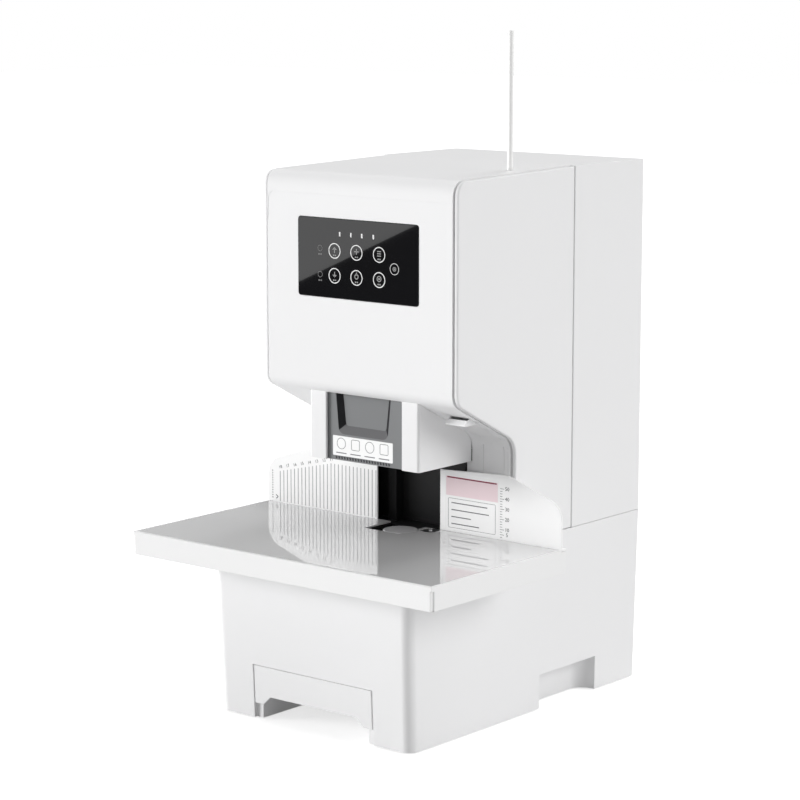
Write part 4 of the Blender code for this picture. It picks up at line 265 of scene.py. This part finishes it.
def rounded_off(name, shape, radius, cutters=()):
    """A mesh from a shape, with grooves cut and its sharp edges rounded off; flat faces stay flat."""
    # Each sharp edge takes the share of the radius that the edges beside it leave room for
    weight = shape.edges.layers.float.new("bevel_weight_edge")
    sharp = math.radians(SHARP_ANGLE)
    for edge in shape.edges:
        if len(edge.link_faces) == 2 and edge.calc_face_angle(0.0) > sharp:
            near = [other.calc_length() for vert in edge.verts for other in vert.link_edges if other != edge]
            edge[weight] = min(1.0, ROOM_SHARE * min(near) / radius)
    mesh = bpy.data.meshes.new(name)
    shape.to_mesh(mesh)
    shape.free()
    steps = [("BOOLEAN", {"operation": "DIFFERENCE", "solver": "EXACT", "object": cutter})
             for cutter in cutters]
    steps.append(("BEVEL", {"width": radius, "segments": ROUNDING_STEPS, "limit_method": "WEIGHT"}))
    made = applied(name, mesh, steps)
    for cutter in cutters:
        bpy.data.objects.remove(cutter, do_unlink=True)
    made.shade_smooth()
    made.set_sharp_from_angle(angle=sharp)
    return applied(name, made, [("WEIGHTED_NORMAL", {"keep_sharp": True, "weight": 50})])


def refined(node, radius, material, body="housing", cutters=()):
    """The node's own shape with rounded edges, standing for the node."""
    mesh = rounded_off(node + "_shell", merged(node), radius, cutters)
    piece = shown(node + "_shell", mesh, material, body)
    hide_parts(node)
    return piece


WHITE_PLASTIC = surfaced("white_abs", (0.87, 0.87, 0.875), 0.42, 0.8 * MM, 0.02 * MM, spread=0.008)
refined("base_housing", 0.7 * MM, WHITE_PLASTIC)


# Waste drawer: white moulded box with a face plate that leans with the housing.
# The cut-out in its lower edge is the pull.
refined("waste_drawer", 0.6 * MM, WHITE_PLASTIC, body="drawer")


# Feet: four black rubber buttons pressed into the housing's floor.
# They carry the machine and show only from below.
RUBBER = surfaced("black_rubber", (0.03, 0.03, 0.03), 0.8, 0.9 * MM, 0.05 * MM, spread=0.2)
for number in (1, 2, 3, 4):
    refined(f"foot_{number}", 0.5 * MM, RUBBER)


# Table: a folded steel tray, powder coated white, with a slit where the folds meet.
# A polished grey sheet lies in it and mirrors the fences.
POWDER_COAT = surfaced("white_powder_coat", (0.88, 0.88, 0.88), 0.36, 1.6 * MM, 0.03 * MM, spread=0.006)
TABLE_GLOSS = surfaced("polished_grey_sheet", (0.76, 0.76, 0.765), 0.025, 40 * MM, 0.0,
                       spread=0.015, coat=0.9)
refined("table_tray", 1.0 * MM, POWDER_COAT)
refined("table_surface", 0.35 * MM, TABLE_GLOSS)


# Fences: bent sheet, one at each side of the throat, in a white set brighter than the tray's as painted light
# that keeps them bright in the head's shade.
# Both carry printed scales; the marks are ink a few hundredths thick.
FENCE_PAINTED_LIGHT_WHITE = surfaced("fence_white_painted_light", (0.955, 0.955, 0.955), 0.3, 1.8 * MM, 0.02 * MM, spread=0.004)
refined("fence_left", 0.4 * MM, FENCE_PAINTED_LIGHT_WHITE)
refined("fence_right", 0.4 * MM, FENCE_PAINTED_LIGHT_WHITE)

INK_THICKNESS = 0.08 * MM


class Print:
    """Flat marks on a plane, gathered into one thin mesh. right and up span the plane."""

    def __init__(self, origin, right, up):
        self.origin = Vector(origin)
        self.right = Vector(right).normalized()
        self.up = Vector(up).normalized()
        self.out = self.right.cross(self.up)
        self.shape = bmesh.new()

    def at(self, u, v, height):
        return self.origin + self.right * u + self.up * v + self.out * height

    def band(self, outer, inner=None):
        """A filled outline, or the band between two outlines."""
        levels = (0.0, INK_THICKNESS)
        rims = [[[self.shape.verts.new(self.at(u, v, level)) for u, v in loop] for level in levels]
                for loop in ((outer,) if inner is None else (outer, inner))]
        count = len(outer)
        for number, (low, high) in enumerate(rims):
            for index in range(count):
                after = (index + 1) % count
                quad = [low[index], low[after], high[after], high[index]]
                self.shape.faces.new(quad if number == 0 else list(reversed(quad)))
        if inner is None:
            self.shape.faces.new(rims[0][1])
            self.shape.faces.new(list(reversed(rims[0][0])))
            return
        for index in range(count):
            after = (index + 1) % count
            self.shape.faces.new((rims[0][1][index], rims[0][1][after], rims[1][1][after], rims[1][1][index]))
            self.shape.faces.new((rims[0][0][after], rims[0][0][index], rims[1][0][index], rims[1][0][after]))

    def bar(self, u, v, width, height, lean=0.0):
        """A rectangle round a centre, turned by lean degrees."""
        turn = math.radians(lean)
        across = (math.cos(turn) * width / 2, math.sin(turn) * width / 2)
        along = (-math.sin(turn) * height / 2, math.cos(turn) * height / 2)
        self.band([(u + across[0] * i + along[0] * j, v + across[1] * i + along[1] * j)
                   for i, j in ((-1, -1), (1, -1), (1, 1), (-1, 1))])

    def ring(self, u, v, radius, width, sides=40):
        """A circle's line, width inwards."""
        angles = [2 * math.pi * step / sides for step in range(sides)]
        self.band(*[[(u + size * math.cos(angle), v + size * math.sin(angle)) for angle in angles]
                    for size in (radius, radius - width)])

    def disc(self, u, v, radius, sides=24):
        """A filled circle."""
        self.band([(u + radius * math.cos(2 * math.pi * step / sides),
                    v + radius * math.sin(2 * math.pi * step / sides)) for step in range(sides)])

    def frame(self, u, v, width, height, line, corner=0.0, steps=4):
        """A rectangle's outline, with rounded corners where corner is given."""
        self.band(box_outline(u, v, width, height, corner, steps),
                  box_outline(u, v, width - 2 * line, height - 2 * line, max(corner - line, 0.0), steps))

    def words(self, text, u, v, size, lean=0.0):
        """Plain numbers, centred on a point."""
        curve = bpy.data.curves.new("numbers", "FONT")
        curve.body = text
        curve.size = size
        curve.align_x = "CENTER"
        curve.align_y = "CENTER"
        curve.extrude = INK_THICKNESS / 2
        curve.resolution_u = 2
        carrier = bpy.data.objects.new("numbers", curve)
        bpy.context.scene.collection.objects.link(carrier)
        graph = bpy.context.evaluated_depsgraph_get()
        mesh = bpy.data.meshes.new_from_object(carrier.evaluated_get(graph))
        bpy.data.objects.remove(carrier, do_unlink=True)
        axes = Matrix((self.right, self.up, self.out)).transposed().to_4x4()
        turn = Matrix.Rotation(math.radians(lean), 4, "Z")
        mesh.transform(Matrix.Translation(self.at(u, v, INK_THICKNESS / 2)) @ axes @ turn)
        self.shape.from_mesh(mesh)
        bpy.data.meshes.remove(mesh)

    def finish(self, name, material, slot, body="housing"):
        """The marks as one piece."""
        mesh = bpy.data.meshes.new(name)
        self.shape.to_mesh(mesh)
        self.shape.free()
        return shown(name, mesh, material, body)


def box_outline(u, v, width, height, corner, steps=4):
    """Points of a rectangle with rounded corners, counter-clockwise."""
    if corner <= 0:
        steps = 0
    points = []
    for quarter, (i, j) in enumerate(((1, -1), (1, 1), (-1, 1), (-1, -1))):
        centre = (u + i * (width / 2 - corner), v + j * (height / 2 - corner))
        for step in range(steps + 1):
            angle = math.radians(-90 + 90 * quarter + (90 * step / steps if steps else 45))
            points.append((centre[0] + corner * math.cos(angle), centre[1] + corner * math.sin(angle)))
    return points


def ink(name, tone, roughness=0.5):
    """Printing ink: a slightly uneven film."""
    return surfaced(name, tone, roughness, 0.5 * MM, 0.004 * MM, spread=0.12)


GREY_INK = ink("grey_ink", (0.16, 0.16, 0.17))
PALE_INK = ink("pale_grey_ink", (0.36, 0.36, 0.37))
DARK_INK = ink("dark_ink", (0.03, 0.03, 0.035))
MAROON_INK = ink("maroon_ink", (0.22, 0.02, 0.05))
PINK_INK = ink("pink_ink", (0.85, 0.70, 0.73))
LABEL_FILM = surfaced("label_film", (0.96, 0.96, 0.96), 0.25, 2.0 * MM, 0.003 * MM, spread=0.003)

TABLE_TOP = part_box("table_surface")[1].z
FENCE_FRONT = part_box("fence_right")[0].y

# Left fence: every fifth millimetre has a line, every tenth a number counted from the drill
STRIPE_COUNT = 27
STRIPE_PITCH = 4.94 * MM
STRIPE_WIDTH = 0.9 * MM
STRIPE_LEFT = -170.2 * MM
STRIPE_FOOT = 0.8 * MM
STRIPE_LOW_TOP = 32.5 * MM
STRIPE_HIGH_TOP = 48.8 * MM
STRIPE_KNEE = 14
NUMBER_SIZE = 4.6 * MM
NUMBER_SHIFT = 0.5 * MM
NUMBER_RISE = 4.2 * MM
NUMBER_LEAN = 20.0
DOT_COUNT = 12
DOT_LEFT = -180.6 * MM
DOT_FOOT = 4.0 * MM
DOT_STEP = 2.55 * MM
DOT_SIZE = 1.1 * MM
ARROW = (-174.6 * MM, 5.2 * MM)
ARROW_BAR = (3.4 * MM, 0.8 * MM)
ARROW_RISE = 1.0 * MM
ARROW_LEAN = 35.0


def stripe_top(stripe):
    """Height of a line's upper end, which climbs up to the knee."""
    return STRIPE_LOW_TOP + (STRIPE_HIGH_TOP - STRIPE_LOW_TOP) * min(stripe / STRIPE_KNEE, 1.0)


scale_left = Print((0.0, FENCE_FRONT, TABLE_TOP), (1, 0, 0), (0, 0, 1))
for stripe in range(STRIPE_COUNT):
    top = stripe_top(stripe)
    scale_left.bar(STRIPE_LEFT + stripe * STRIPE_PITCH, (STRIPE_FOOT + top) / 2, STRIPE_WIDTH,
                   top - STRIPE_FOOT)
scale_left.finish("left_fence_lines", PALE_INK, "white_sheet")
numbers_left = Print((0.0, FENCE_FRONT, TABLE_TOP), (1, 0, 0), (0, 0, 1))
for index, number in enumerate(range(18, 10, -1)):
    stripe = 2 * index
    across = STRIPE_LEFT + stripe * STRIPE_PITCH + NUMBER_SHIFT
    numbers_left.words(str(number), across, stripe_top(stripe) + NUMBER_RISE, NUMBER_SIZE, NUMBER_LEAN)
for step in range(DOT_COUNT):
    numbers_left.bar(DOT_LEFT, DOT_FOOT + DOT_STEP * step, DOT_SIZE, DOT_SIZE)
for side in (-1, 1):
    numbers_left.bar(ARROW[0], ARROW[1] + side * ARROW_RISE, *ARROW_BAR, -side * ARROW_LEAN)
numbers_left.finish("left_fence_numbers", DARK_INK, "white_sheet")

# Right fence: a pale card beside a ruler that reads the stack's height
CARD = (79.3 * MM, 29.2 * MM, 66.5 * MM, 55.4 * MM)
CARD_CORNER = 1.5 * MM
CARD_BAND = 19.0 * MM
BAND_MARGIN = 3.0 * MM
BAND_DROP = 2.0 * MM
RULE_MARGIN = 6.0 * MM
RULE_DROP = 3.0 * MM
RULE_WIDTH = 1.3 * MM
LINES_BOX = (CARD[0], CARD[1] - 10.6 * MM, 58.0 * MM, 29.5 * MM)
LINES_EDGE = 0.35 * MM
LINES_CORNER = 1.4 * MM
LINE_LENGTHS = (44.0 * MM, 46.0 * MM, 24.0 * MM, 34.0 * MM)
LINE_INDENT = 4.0 * MM
LINE_TOP = 10.2 * MM
LINE_STEP = 6.9 * MM
LINE_WIDTH = 1.0 * MM
card = Print((0.0, FENCE_FRONT, TABLE_TOP), (1, 0, 0), (0, 0, 1))
card.band(box_outline(*CARD, CARD_CORNER))
card.finish("right_fence_card", LABEL_FILM, "white_sheet")
CARD_FRONT = FENCE_FRONT - INK_THICKNESS
card_top = CARD[1] + CARD[3] / 2
tint = Print((0.0, CARD_FRONT, TABLE_TOP), (1, 0, 0), (0, 0, 1))
tint.bar(CARD[0], card_top - CARD_BAND / 2 - BAND_DROP, CARD[2] - BAND_MARGIN, CARD_BAND)
tint.finish("card_tint", PINK_INK, "white_sheet")
rule = Print((0.0, CARD_FRONT - INK_THICKNESS, TABLE_TOP), (1, 0, 0), (0, 0, 1))
rule.bar(CARD[0], card_top - RULE_DROP, CARD[2] - RULE_MARGIN, RULE_WIDTH)
rule.finish("card_rule", MAROON_INK, "white_sheet")
lines = Print((0.0, CARD_FRONT, TABLE_TOP), (1, 0, 0), (0, 0, 1))
lines.frame(*LINES_BOX, LINES_EDGE, corner=LINES_CORNER)
lines_left = LINES_BOX[0] - LINES_BOX[2] / 2 + LINE_INDENT
for row, length in enumerate(LINE_LENGTHS):
    lines.bar(lines_left + length / 2, LINES_BOX[1] + LINE_TOP - LINE_STEP * row, length, LINE_WIDTH)
lines.finish("card_lines", GREY_INK, "white_sheet")

RULER_LEFT = 113.6 * MM
RULER_STEP = 2.5 * MM
RULER_STEPS = 20
RULER_NUMBERS = (5, 10, 20, 30, 40, 50)
LONG_MARK = 5.0 * MM
SHORT_MARK = 2.8 * MM
MARK_WIDTH = 0.4 * MM
HEIGHT_SHIFT = (8.6 * MM, 0.2 * MM)
HEIGHT_SIZE = 5.2 * MM
ruler = Print((0.0, FENCE_FRONT, TABLE_TOP), (1, 0, 0), (0, 0, 1))
for step in range(1, RULER_STEPS + 1):
    length = LONG_MARK if step % 4 == 0 or step == 2 else SHORT_MARK
    ruler.bar(RULER_LEFT + length / 2, step * RULER_STEP, length, MARK_WIDTH)
for height in RULER_NUMBERS:
    ruler.words(str(height), RULER_LEFT + HEIGHT_SHIFT[0], height * MM + HEIGHT_SHIFT[1], HEIGHT_SIZE)
ruler.finish("stack_ruler", DARK_INK, "white_sheet")


# Throat: black liner with a floor behind the notch, round seats and an upright rib.
# The cutting pad is grey nylon, the rivet anvil ground steel.
BLACK_PLASTIC = surfaced("black_abs", (0.015, 0.015, 0.016), 0.45, 0.9 * MM, 0.03 * MM,
                         spread=0.2, specular=0.35)
PAD_NYLON = surfaced("grey_nylon", (0.62, 0.62, 0.63), 0.15, 1.2 * MM, 0.02 * MM, spread=0.03)
STEEL = surfaced("ground_steel", (0.60, 0.60, 0.61), 0.3, 0.4 * MM, 0.01 * MM, metallic=1.0, spread=0.06)
refined("throat_liner", 0.5 * MM, BLACK_PLASTIC)
refined("chip_chute", 0.3 * MM, BLACK_PLASTIC)
refined("drill_pad", 0.3 * MM, PAD_NYLON)
refined("rivet_anvil", 0.2 * MM, STEEL)


# Head covers: front cover with the chin and throat wall, two cheeks and the rear cover.
# All are white ABS; dark grooves part them.
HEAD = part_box("front_cover")
FRONT_FACE = HEAD[0].y


def ribbon(path, half_width, low, high, plane):
    """A thin solid along a path in a plane: XZ paths run through depth Y, YZ paths through X."""
    sides = []
    for index, here in enumerate(path):
        before = Vector(path[max(index - 1, 0)])
        after = Vector(path[min(index + 1, len(path) - 1)])
        along = (after - before).normalized()
        normal = Vector((-along.y, along.x)) * half_width
        sides.append((Vector(here) + normal, Vector(here) - normal))
    loop = [pair[0] for pair in sides] + [pair[1] for pair in reversed(sides)]
    shape = bmesh.new()
    rims = []
    for level in (low, high):
        rims.append([shape.verts.new((u, level, v) if plane == "XZ" else (level, u, v)) for u, v in loop])
    shape.faces.new(rims[0])
    shape.faces.new(list(reversed(rims[1])))
    count = len(loop)
    for index in range(count):
        after = (index + 1) % count
        shape.faces.new((rims[0][after], rims[0][index], rims[1][index], rims[1][after]))
    bmesh.ops.recalc_face_normals(shape, faces=shape.faces)
    mesh = bpy.data.meshes.new("cutter")
    shape.to_mesh(mesh)
    shape.free()
    cutter = bpy.data.objects.new("cutter", mesh)
    bpy.context.scene.collection.objects.link(cutter)
    cutter.hide_render = True
    return cutter


def arc(centre, radius, first, last, steps=8):
    """Points of an arc between two angles in degrees."""
    return [(centre[0] + radius * math.cos(math.radians(first + (last - first) * step / steps)),
             centre[1] + radius * math.sin(math.radians(first + (last - first) * step / steps)))
            for step in range(steps + 1)]


SEAM_LEVEL = 511.0 * MM
SEAM_TURN = 8.0 * MM
SEAM_HALF = 0.28 * MM
SEAM_DEPTH = 0.5 * MM
SEAM_INSET = 1.4 * MM
SEAM_END = 4.0 * MM
OVERRUN = 1.0 * MM
seam_left = HEAD[0].x + SEAM_INSET
seam_path = [(HEAD[0].x - OVERRUN, SEAM_LEVEL - 4.0 * SEAM_TURN), (seam_left, SEAM_LEVEL - 3.0 * SEAM_TURN)]
seam_path += arc((seam_left + SEAM_TURN, SEAM_LEVEL - SEAM_TURN), SEAM_TURN, 180.0, 90.0)
seam_path += [(HEAD[1].x - SEAM_END, SEAM_LEVEL)]
seam = ribbon(seam_path, SEAM_HALF, FRONT_FACE - OVERRUN, FRONT_FACE + SEAM_DEPTH, "XZ")

# Where the chin's slope turns down into the throat wall, two seams run round the bend.
# The points are depth and height: along the slope, round the bend and down the wall.
SLOPE_PART = [(-52.6 * MM, 301.9 * MM), (-20.0 * MM, 285.2 * MM)]
BEND_PART = [(-8.6 * MM, 279.2 * MM), (-4.6 * MM, 276.0 * MM),
             (-2.4 * MM, 271.4 * MM), (-1.6 * MM, 265.2 * MM)]
WALL_FOOT = (-1.6 * MM, 181.0 * MM)
BEND_START = (-9.8 * MM, 280.0 * MM)
OUTER_SEAM_X = 107.6 * MM
INNER_SEAM_X = 82.8 * MM
BEND_SEAM_HALF = 0.3 * MM
outer_path = SLOPE_PART + BEND_PART + [WALL_FOOT]
inner_path = [BEND_START] + BEND_PART + [WALL_FOOT]
bends = [ribbon(path, SEAM_DEPTH, across - BEND_SEAM_HALF, across + BEND_SEAM_HALF, "YZ")
         for path, across in ((outer_path, OUTER_SEAM_X), (inner_path, INNER_SEAM_X))]
refined("front_cover", 0.6 * MM, WHITE_PLASTIC, cutters=(seam, *bends))
refined("cheek_left", 0.4 * MM, WHITE_PLASTIC)
refined("cheek_right", 0.4 * MM, WHITE_PLASTIC)
refined("rear_cover", 0.7 * MM, WHITE_PLASTIC)


# Nose shell and guard: white side lips with the grey sliding guard between them.
# The guard has a moulded finger recess, a bare white card and a knurled lower edge drawn as flat dark bars of
# painted shade.
GREY_PLASTIC = surfaced("grey_abs", (0.225, 0.23, 0.235), 0.42, 0.8 * MM, 0.02 * MM,
                        spread=0.03, specular=0.25)
refined("nose_shell", 0.9 * MM, WHITE_PLASTIC)

# A narrow collar closes the joint between the nose's right side and the throat wall
NOSE_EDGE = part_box("nose_shell")[1].x
COLLAR_HALF = 0.25 * MM
COLLAR_WIDTH = 0.9 * MM
COLLAR_FOOT = (-1.6 * MM, 251.0 * MM)
collar = ribbon([BEND_START] + BEND_PART + [COLLAR_FOOT], COLLAR_HALF, NOSE_EDGE, NOSE_EDGE + COLLAR_WIDTH,
                "YZ")
shown("nose_collar", collar.data, WHITE_PLASTIC, "housing")
bpy.data.objects.remove(collar)

# Painted shade: the recess's side walls get a near-black colour and its sloped foot a darker grey, standing
# in for the shade that falls in the recess
RECESS_LIP = 0.3 * MM
SIDE_TILT = 0.45
FOOT_TILT = 0.3
guard = refined("guard", 0.5 * MM, GREY_PLASTIC, body="guard")
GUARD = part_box("guard")
GUARD_FRONT = GUARD[0].y
for name, tone, roughness, specular in (("recess_wall_painted_shade", (0.022, 0.022, 0.024), 0.6, 0.1),
                                        ("recess_foot_painted_shade", (0.15, 0.15, 0.155), 0.5, 0.2)):
    guard.data.materials.append(surfaced(name, tone, roughness, 0.8 * MM, 0.02 * MM, specular=specular))
for face in guard.data.polygons:
    if face.center.y > GUARD_FRONT + RECESS_LIP:
        if abs(face.normal.x) > SIDE_TILT:
            face.material_index = 1
        elif face.normal.z > FOOT_TILT:
            face.material_index = 2

GUARD_CARD = (-3.9 * MM, 14.2 * MM, 75.6 * MM, 19.6 * MM)
GUARD_CARD_CORNER = 0.8 * MM
SIGN_PITCH = 18.0 * MM
SIGN_RISE = 2.4 * MM
SIGN_RADIUS = 5.6 * MM
SIGN_SIDE = 10.6 * MM
SIGN_LINE = 0.5 * MM
SIGN_CORNER = 1.6 * MM
CAPTION_DROP = 6.9 * MM
CAPTION_BAR = (13.0 * MM, 0.9 * MM)
guard_card = Print((0.0, GUARD_FRONT, GUARD[0].z), (1, 0, 0), (0, 0, 1))
guard_card.band(box_outline(*GUARD_CARD, GUARD_CARD_CORNER))
guard_card.finish("guard_card", LABEL_FILM, "grey_plastic", body="guard")
marks = Print((0.0, GUARD_FRONT - INK_THICKNESS, GUARD[0].z), (1, 0, 0), (0, 0, 1))
for place, kind in enumerate(("ring", "frame", "ring", "frame")):
    across = GUARD_CARD[0] + (place - 1.5) * SIGN_PITCH
    up = GUARD_CARD[1] + SIGN_RISE
    if kind == "ring":
        marks.ring(across, up, SIGN_RADIUS, SIGN_LINE)
    else:
        marks.frame(across, up, SIGN_SIDE, SIGN_SIDE, SIGN_LINE, corner=SIGN_CORNER)
    marks.bar(across, GUARD_CARD[1] - CAPTION_DROP, *CAPTION_BAR)
marks.finish("guard_card_marks", GREY_INK, "grey_plastic", body="guard")

# Painted shade: the knurl is flat dark bars that stand in for the shaded grooves between its ridges
KNURL_PITCH = 3.5 * MM
KNURL_BAR = (1.9 * MM, 2.8 * MM)
KNURL_RISE = 2.6 * MM
KNURL_LEAN = 14.0
KNURL_COUNT = 20
knurl = Print((0.0, GUARD_FRONT, GUARD[0].z), (1, 0, 0), (0, 0, 1))
for place in range(KNURL_COUNT):
    across = GUARD_CARD[0] + (place - (KNURL_COUNT - 1) / 2) * KNURL_PITCH
    knurl.bar(across, KNURL_RISE, *KNURL_BAR, KNURL_LEAN)
knurl.finish("guard_knurl_painted_shade", ink("knurl_shade_ink", (0.035, 0.035, 0.038)), "grey_plastic", body="guard")


# Glass touch panel: black glass with six large keys, one small key and four lamps.
# The keys are rings of white print under the glass, drawn here on its face.
BLACK_GLASS = surfaced("black_glass", (0.008, 0.008, 0.009), 0.012, 30 * MM, 0.0, spread=0.1, coat=0.35)
refined("panel_glass", 0.35 * MM, BLACK_GLASS)
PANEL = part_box("panel_glass")
PANEL_SIZE = (PANEL[1].x - PANEL[0].x, PANEL[1].z - PANEL[0].z)
WHITE_INK = ink("white_ink", (0.86, 0.86, 0.86), 0.3)
DIM_INK = ink("dim_grey_ink", (0.34, 0.34, 0.34), 0.3)
keys = Print((PANEL[0].x, PANEL[0].y, PANEL[1].z), (1, 0, 0), (0, 0, 1))
icons = Print((PANEL[0].x, PANEL[0].y, PANEL[1].z), (1, 0, 0), (0, 0, 1))
KEY_COLUMNS = (0.310, 0.493, 0.680)
KEY_ROWS = (0.405, 0.717)
KEY_RADIUS = 7.5 * MM
KEY_LINE = 0.9 * MM
LAMP_COLUMNS = (0.354, 0.447, 0.538, 0.633)
LAMP_ROW = 0.19
LAMP_BAR = (1.7 * MM, 4.2 * MM)
SMALL_KEY = (0.805, 0.565)
SMALL_RADIUS = 5.5 * MM
SMALL_LINE = 0.5 * MM
SMALL_GLYPH = 5.6 * MM
GLYPH_SIZE = 7.6 * MM
GLYPH_RISE = 1.0 * MM
CAPTION_SHIFT = (1.1 * MM, 4.3 * MM)
CAPTION_MARK = (1.5 * MM, 1.3 * MM)
for down in KEY_ROWS:
    for across in KEY_COLUMNS:
        keys.ring(across * PANEL_SIZE[0], -down * PANEL_SIZE[1], KEY_RADIUS, KEY_LINE)
for across in LAMP_COLUMNS:
    keys.bar(across * PANEL_SIZE[0], -LAMP_ROW * PANEL_SIZE[1], *LAMP_BAR)


def glyph(kind, u, v, size):
    """Small neutral key symbols made of bars and rings."""
    line = size * 0.12
    if kind == "bars":
        for row in (-1, 0, 1):
            icons.bar(u, v + row * size * 0.28, size * 0.62, line)
    elif kind == "cross":
        icons.bar(u, v, size * 0.72, line)
        icons.bar(u, v, line, size * 0.72)
    elif kind == "up":
        icons.bar(u, v - size * 0.08, line, size * 0.6)
        for lean in (45.0, -45.0):
            icons.bar(u - math.copysign(size * 0.13, lean), v + size * 0.16, size * 0.42, line, lean)
    elif kind == "down":
        icons.bar(u, v + size * 0.08, line, size * 0.6)
        for lean in (45.0, -45.0):
            icons.bar(u + math.copysign(size * 0.13, lean), v - size * 0.16, size * 0.42, line, lean)
    elif kind == "power":
        icons.ring(u, v, size * 0.34, line)
        icons.bar(u, v + size * 0.34, line * 1.4, size * 0.36)
    elif kind == "dot":
        icons.ring(u, v, size * 0.38, line)
        icons.disc(u, v, size * 0.14)


for down, kinds in zip(KEY_ROWS, (("up", "cross", "bars"), ("down", "power", "dot"))):
    for across, kind in zip(KEY_COLUMNS, kinds):
        u, v = across * PANEL_SIZE[0], -down * PANEL_SIZE[1]
        glyph(kind, u, v + GLYPH_RISE, GLYPH_SIZE)
        for side in (-1, 1):
            icons.bar(u + side * CAPTION_SHIFT[0], v - CAPTION_SHIFT[1], *CAPTION_MARK)
keys.ring(SMALL_KEY[0] * PANEL_SIZE[0], -SMALL_KEY[1] * PANEL_SIZE[1], SMALL_RADIUS, SMALL_LINE)
glyph("dot", SMALL_KEY[0] * PANEL_SIZE[0], -SMALL_KEY[1] * PANEL_SIZE[1], SMALL_GLYPH)
keys.finish("key_rings", WHITE_INK, "panel_glass")
icons.finish("key_symbols", DIM_INK, "panel_glass")

SIDE_COLUMN = 0.188
SIDE_ROWS = (0.40, 0.73)
SIDE_RISE = 1.2 * MM
SIDE_RADIUS = 3.0 * MM
SIDE_LINE = 0.45 * MM
SIDE_SHIFT = (1.3 * MM, 4.6 * MM)
SIDE_MARK = (1.7 * MM, 1.4 * MM)
faint = Print((PANEL[0].x, PANEL[0].y, PANEL[1].z), (1, 0, 0), (0, 0, 1))
for down in SIDE_ROWS:
    u, v = SIDE_COLUMN * PANEL_SIZE[0], -down * PANEL_SIZE[1]
    faint.ring(u, v + SIDE_RISE, SIDE_RADIUS, SIDE_LINE)
    for side in (-1, 1):
        faint.bar(u + side * SIDE_SHIFT[0], v - SIDE_SHIFT[1], *SIDE_MARK)
faint.finish("side_symbols", ink("faint_ink", (0.2, 0.2, 0.2), 0.3), "panel_glass")


# Outlet lip: the end of the white trough that delivers a cut tube piece.
# It pokes out of the slot in the chin's slope.
refined("outlet_chute", 0.35 * MM, WHITE_PLASTIC)


# Nylon tube: a straight stick of natural nylon standing in the lid's hole.
# The feeder below draws it down and the cutter shortens it to rivets.
TUBE_NYLON = surfaced("natural_nylon", (0.975, 0.975, 0.965), 0.3, 0.8 * MM, 0.01 * MM, spread=0.005)
refined("nylon_tube", 0.15 * MM, TUBE_NYLON, body="tube")


# Inner works: each keeps the frame's own shape and takes a worked surface.
# Sheet parts are zinc plated, blocks milled, motors in plated cans.
ZINC = surfaced("zinc_sheet", (0.62, 0.63, 0.65), 0.4, 6.0 * MM, 0.01 * MM, metallic=1.0, spread=0.1)
ALUMINIUM = surfaced("milled_aluminium", (0.74, 0.75, 0.76), 0.34, 0.7 * MM, 0.015 * MM,
                     metallic=1.0, spread=0.05)
BRASS = surfaced("turned_brass", (0.72, 0.55, 0.25), 0.3, 0.6 * MM, 0.01 * MM, metallic=1.0, spread=0.06)
MOTOR_CAN = surfaced("motor_can", (0.42, 0.43, 0.44), 0.38, 1.0 * MM, 0.01 * MM, metallic=1.0, spread=0.06)
BOARD = surfaced("solder_resist", (0.02, 0.15, 0.07), 0.35, 3.0 * MM, 0.03 * MM, spread=0.25)
SLOT_FINISH = {"zinc_sheet": ZINC, "aluminium": ALUMINIUM, "brass": BRASS, "motor_can": MOTOR_CAN,
               "circuit_board": BOARD, "steel": STEEL, "rubber": RUBBER, "black_plastic": BLACK_PLASTIC,
               "white_plastic": WHITE_PLASTIC, "white_sheet": POWDER_COAT, "table_gloss": TABLE_GLOSS,
               "grey_plastic": GREY_PLASTIC, "panel_glass": BLACK_GLASS, "nylon": TUBE_NYLON}
for row in frame["record"]["subparts"]:
    node = frame["nodes"][row["node"]]
    node.data.materials.clear()
    node.data.materials.append(SLOT_FINISH[row["material_slot"]])
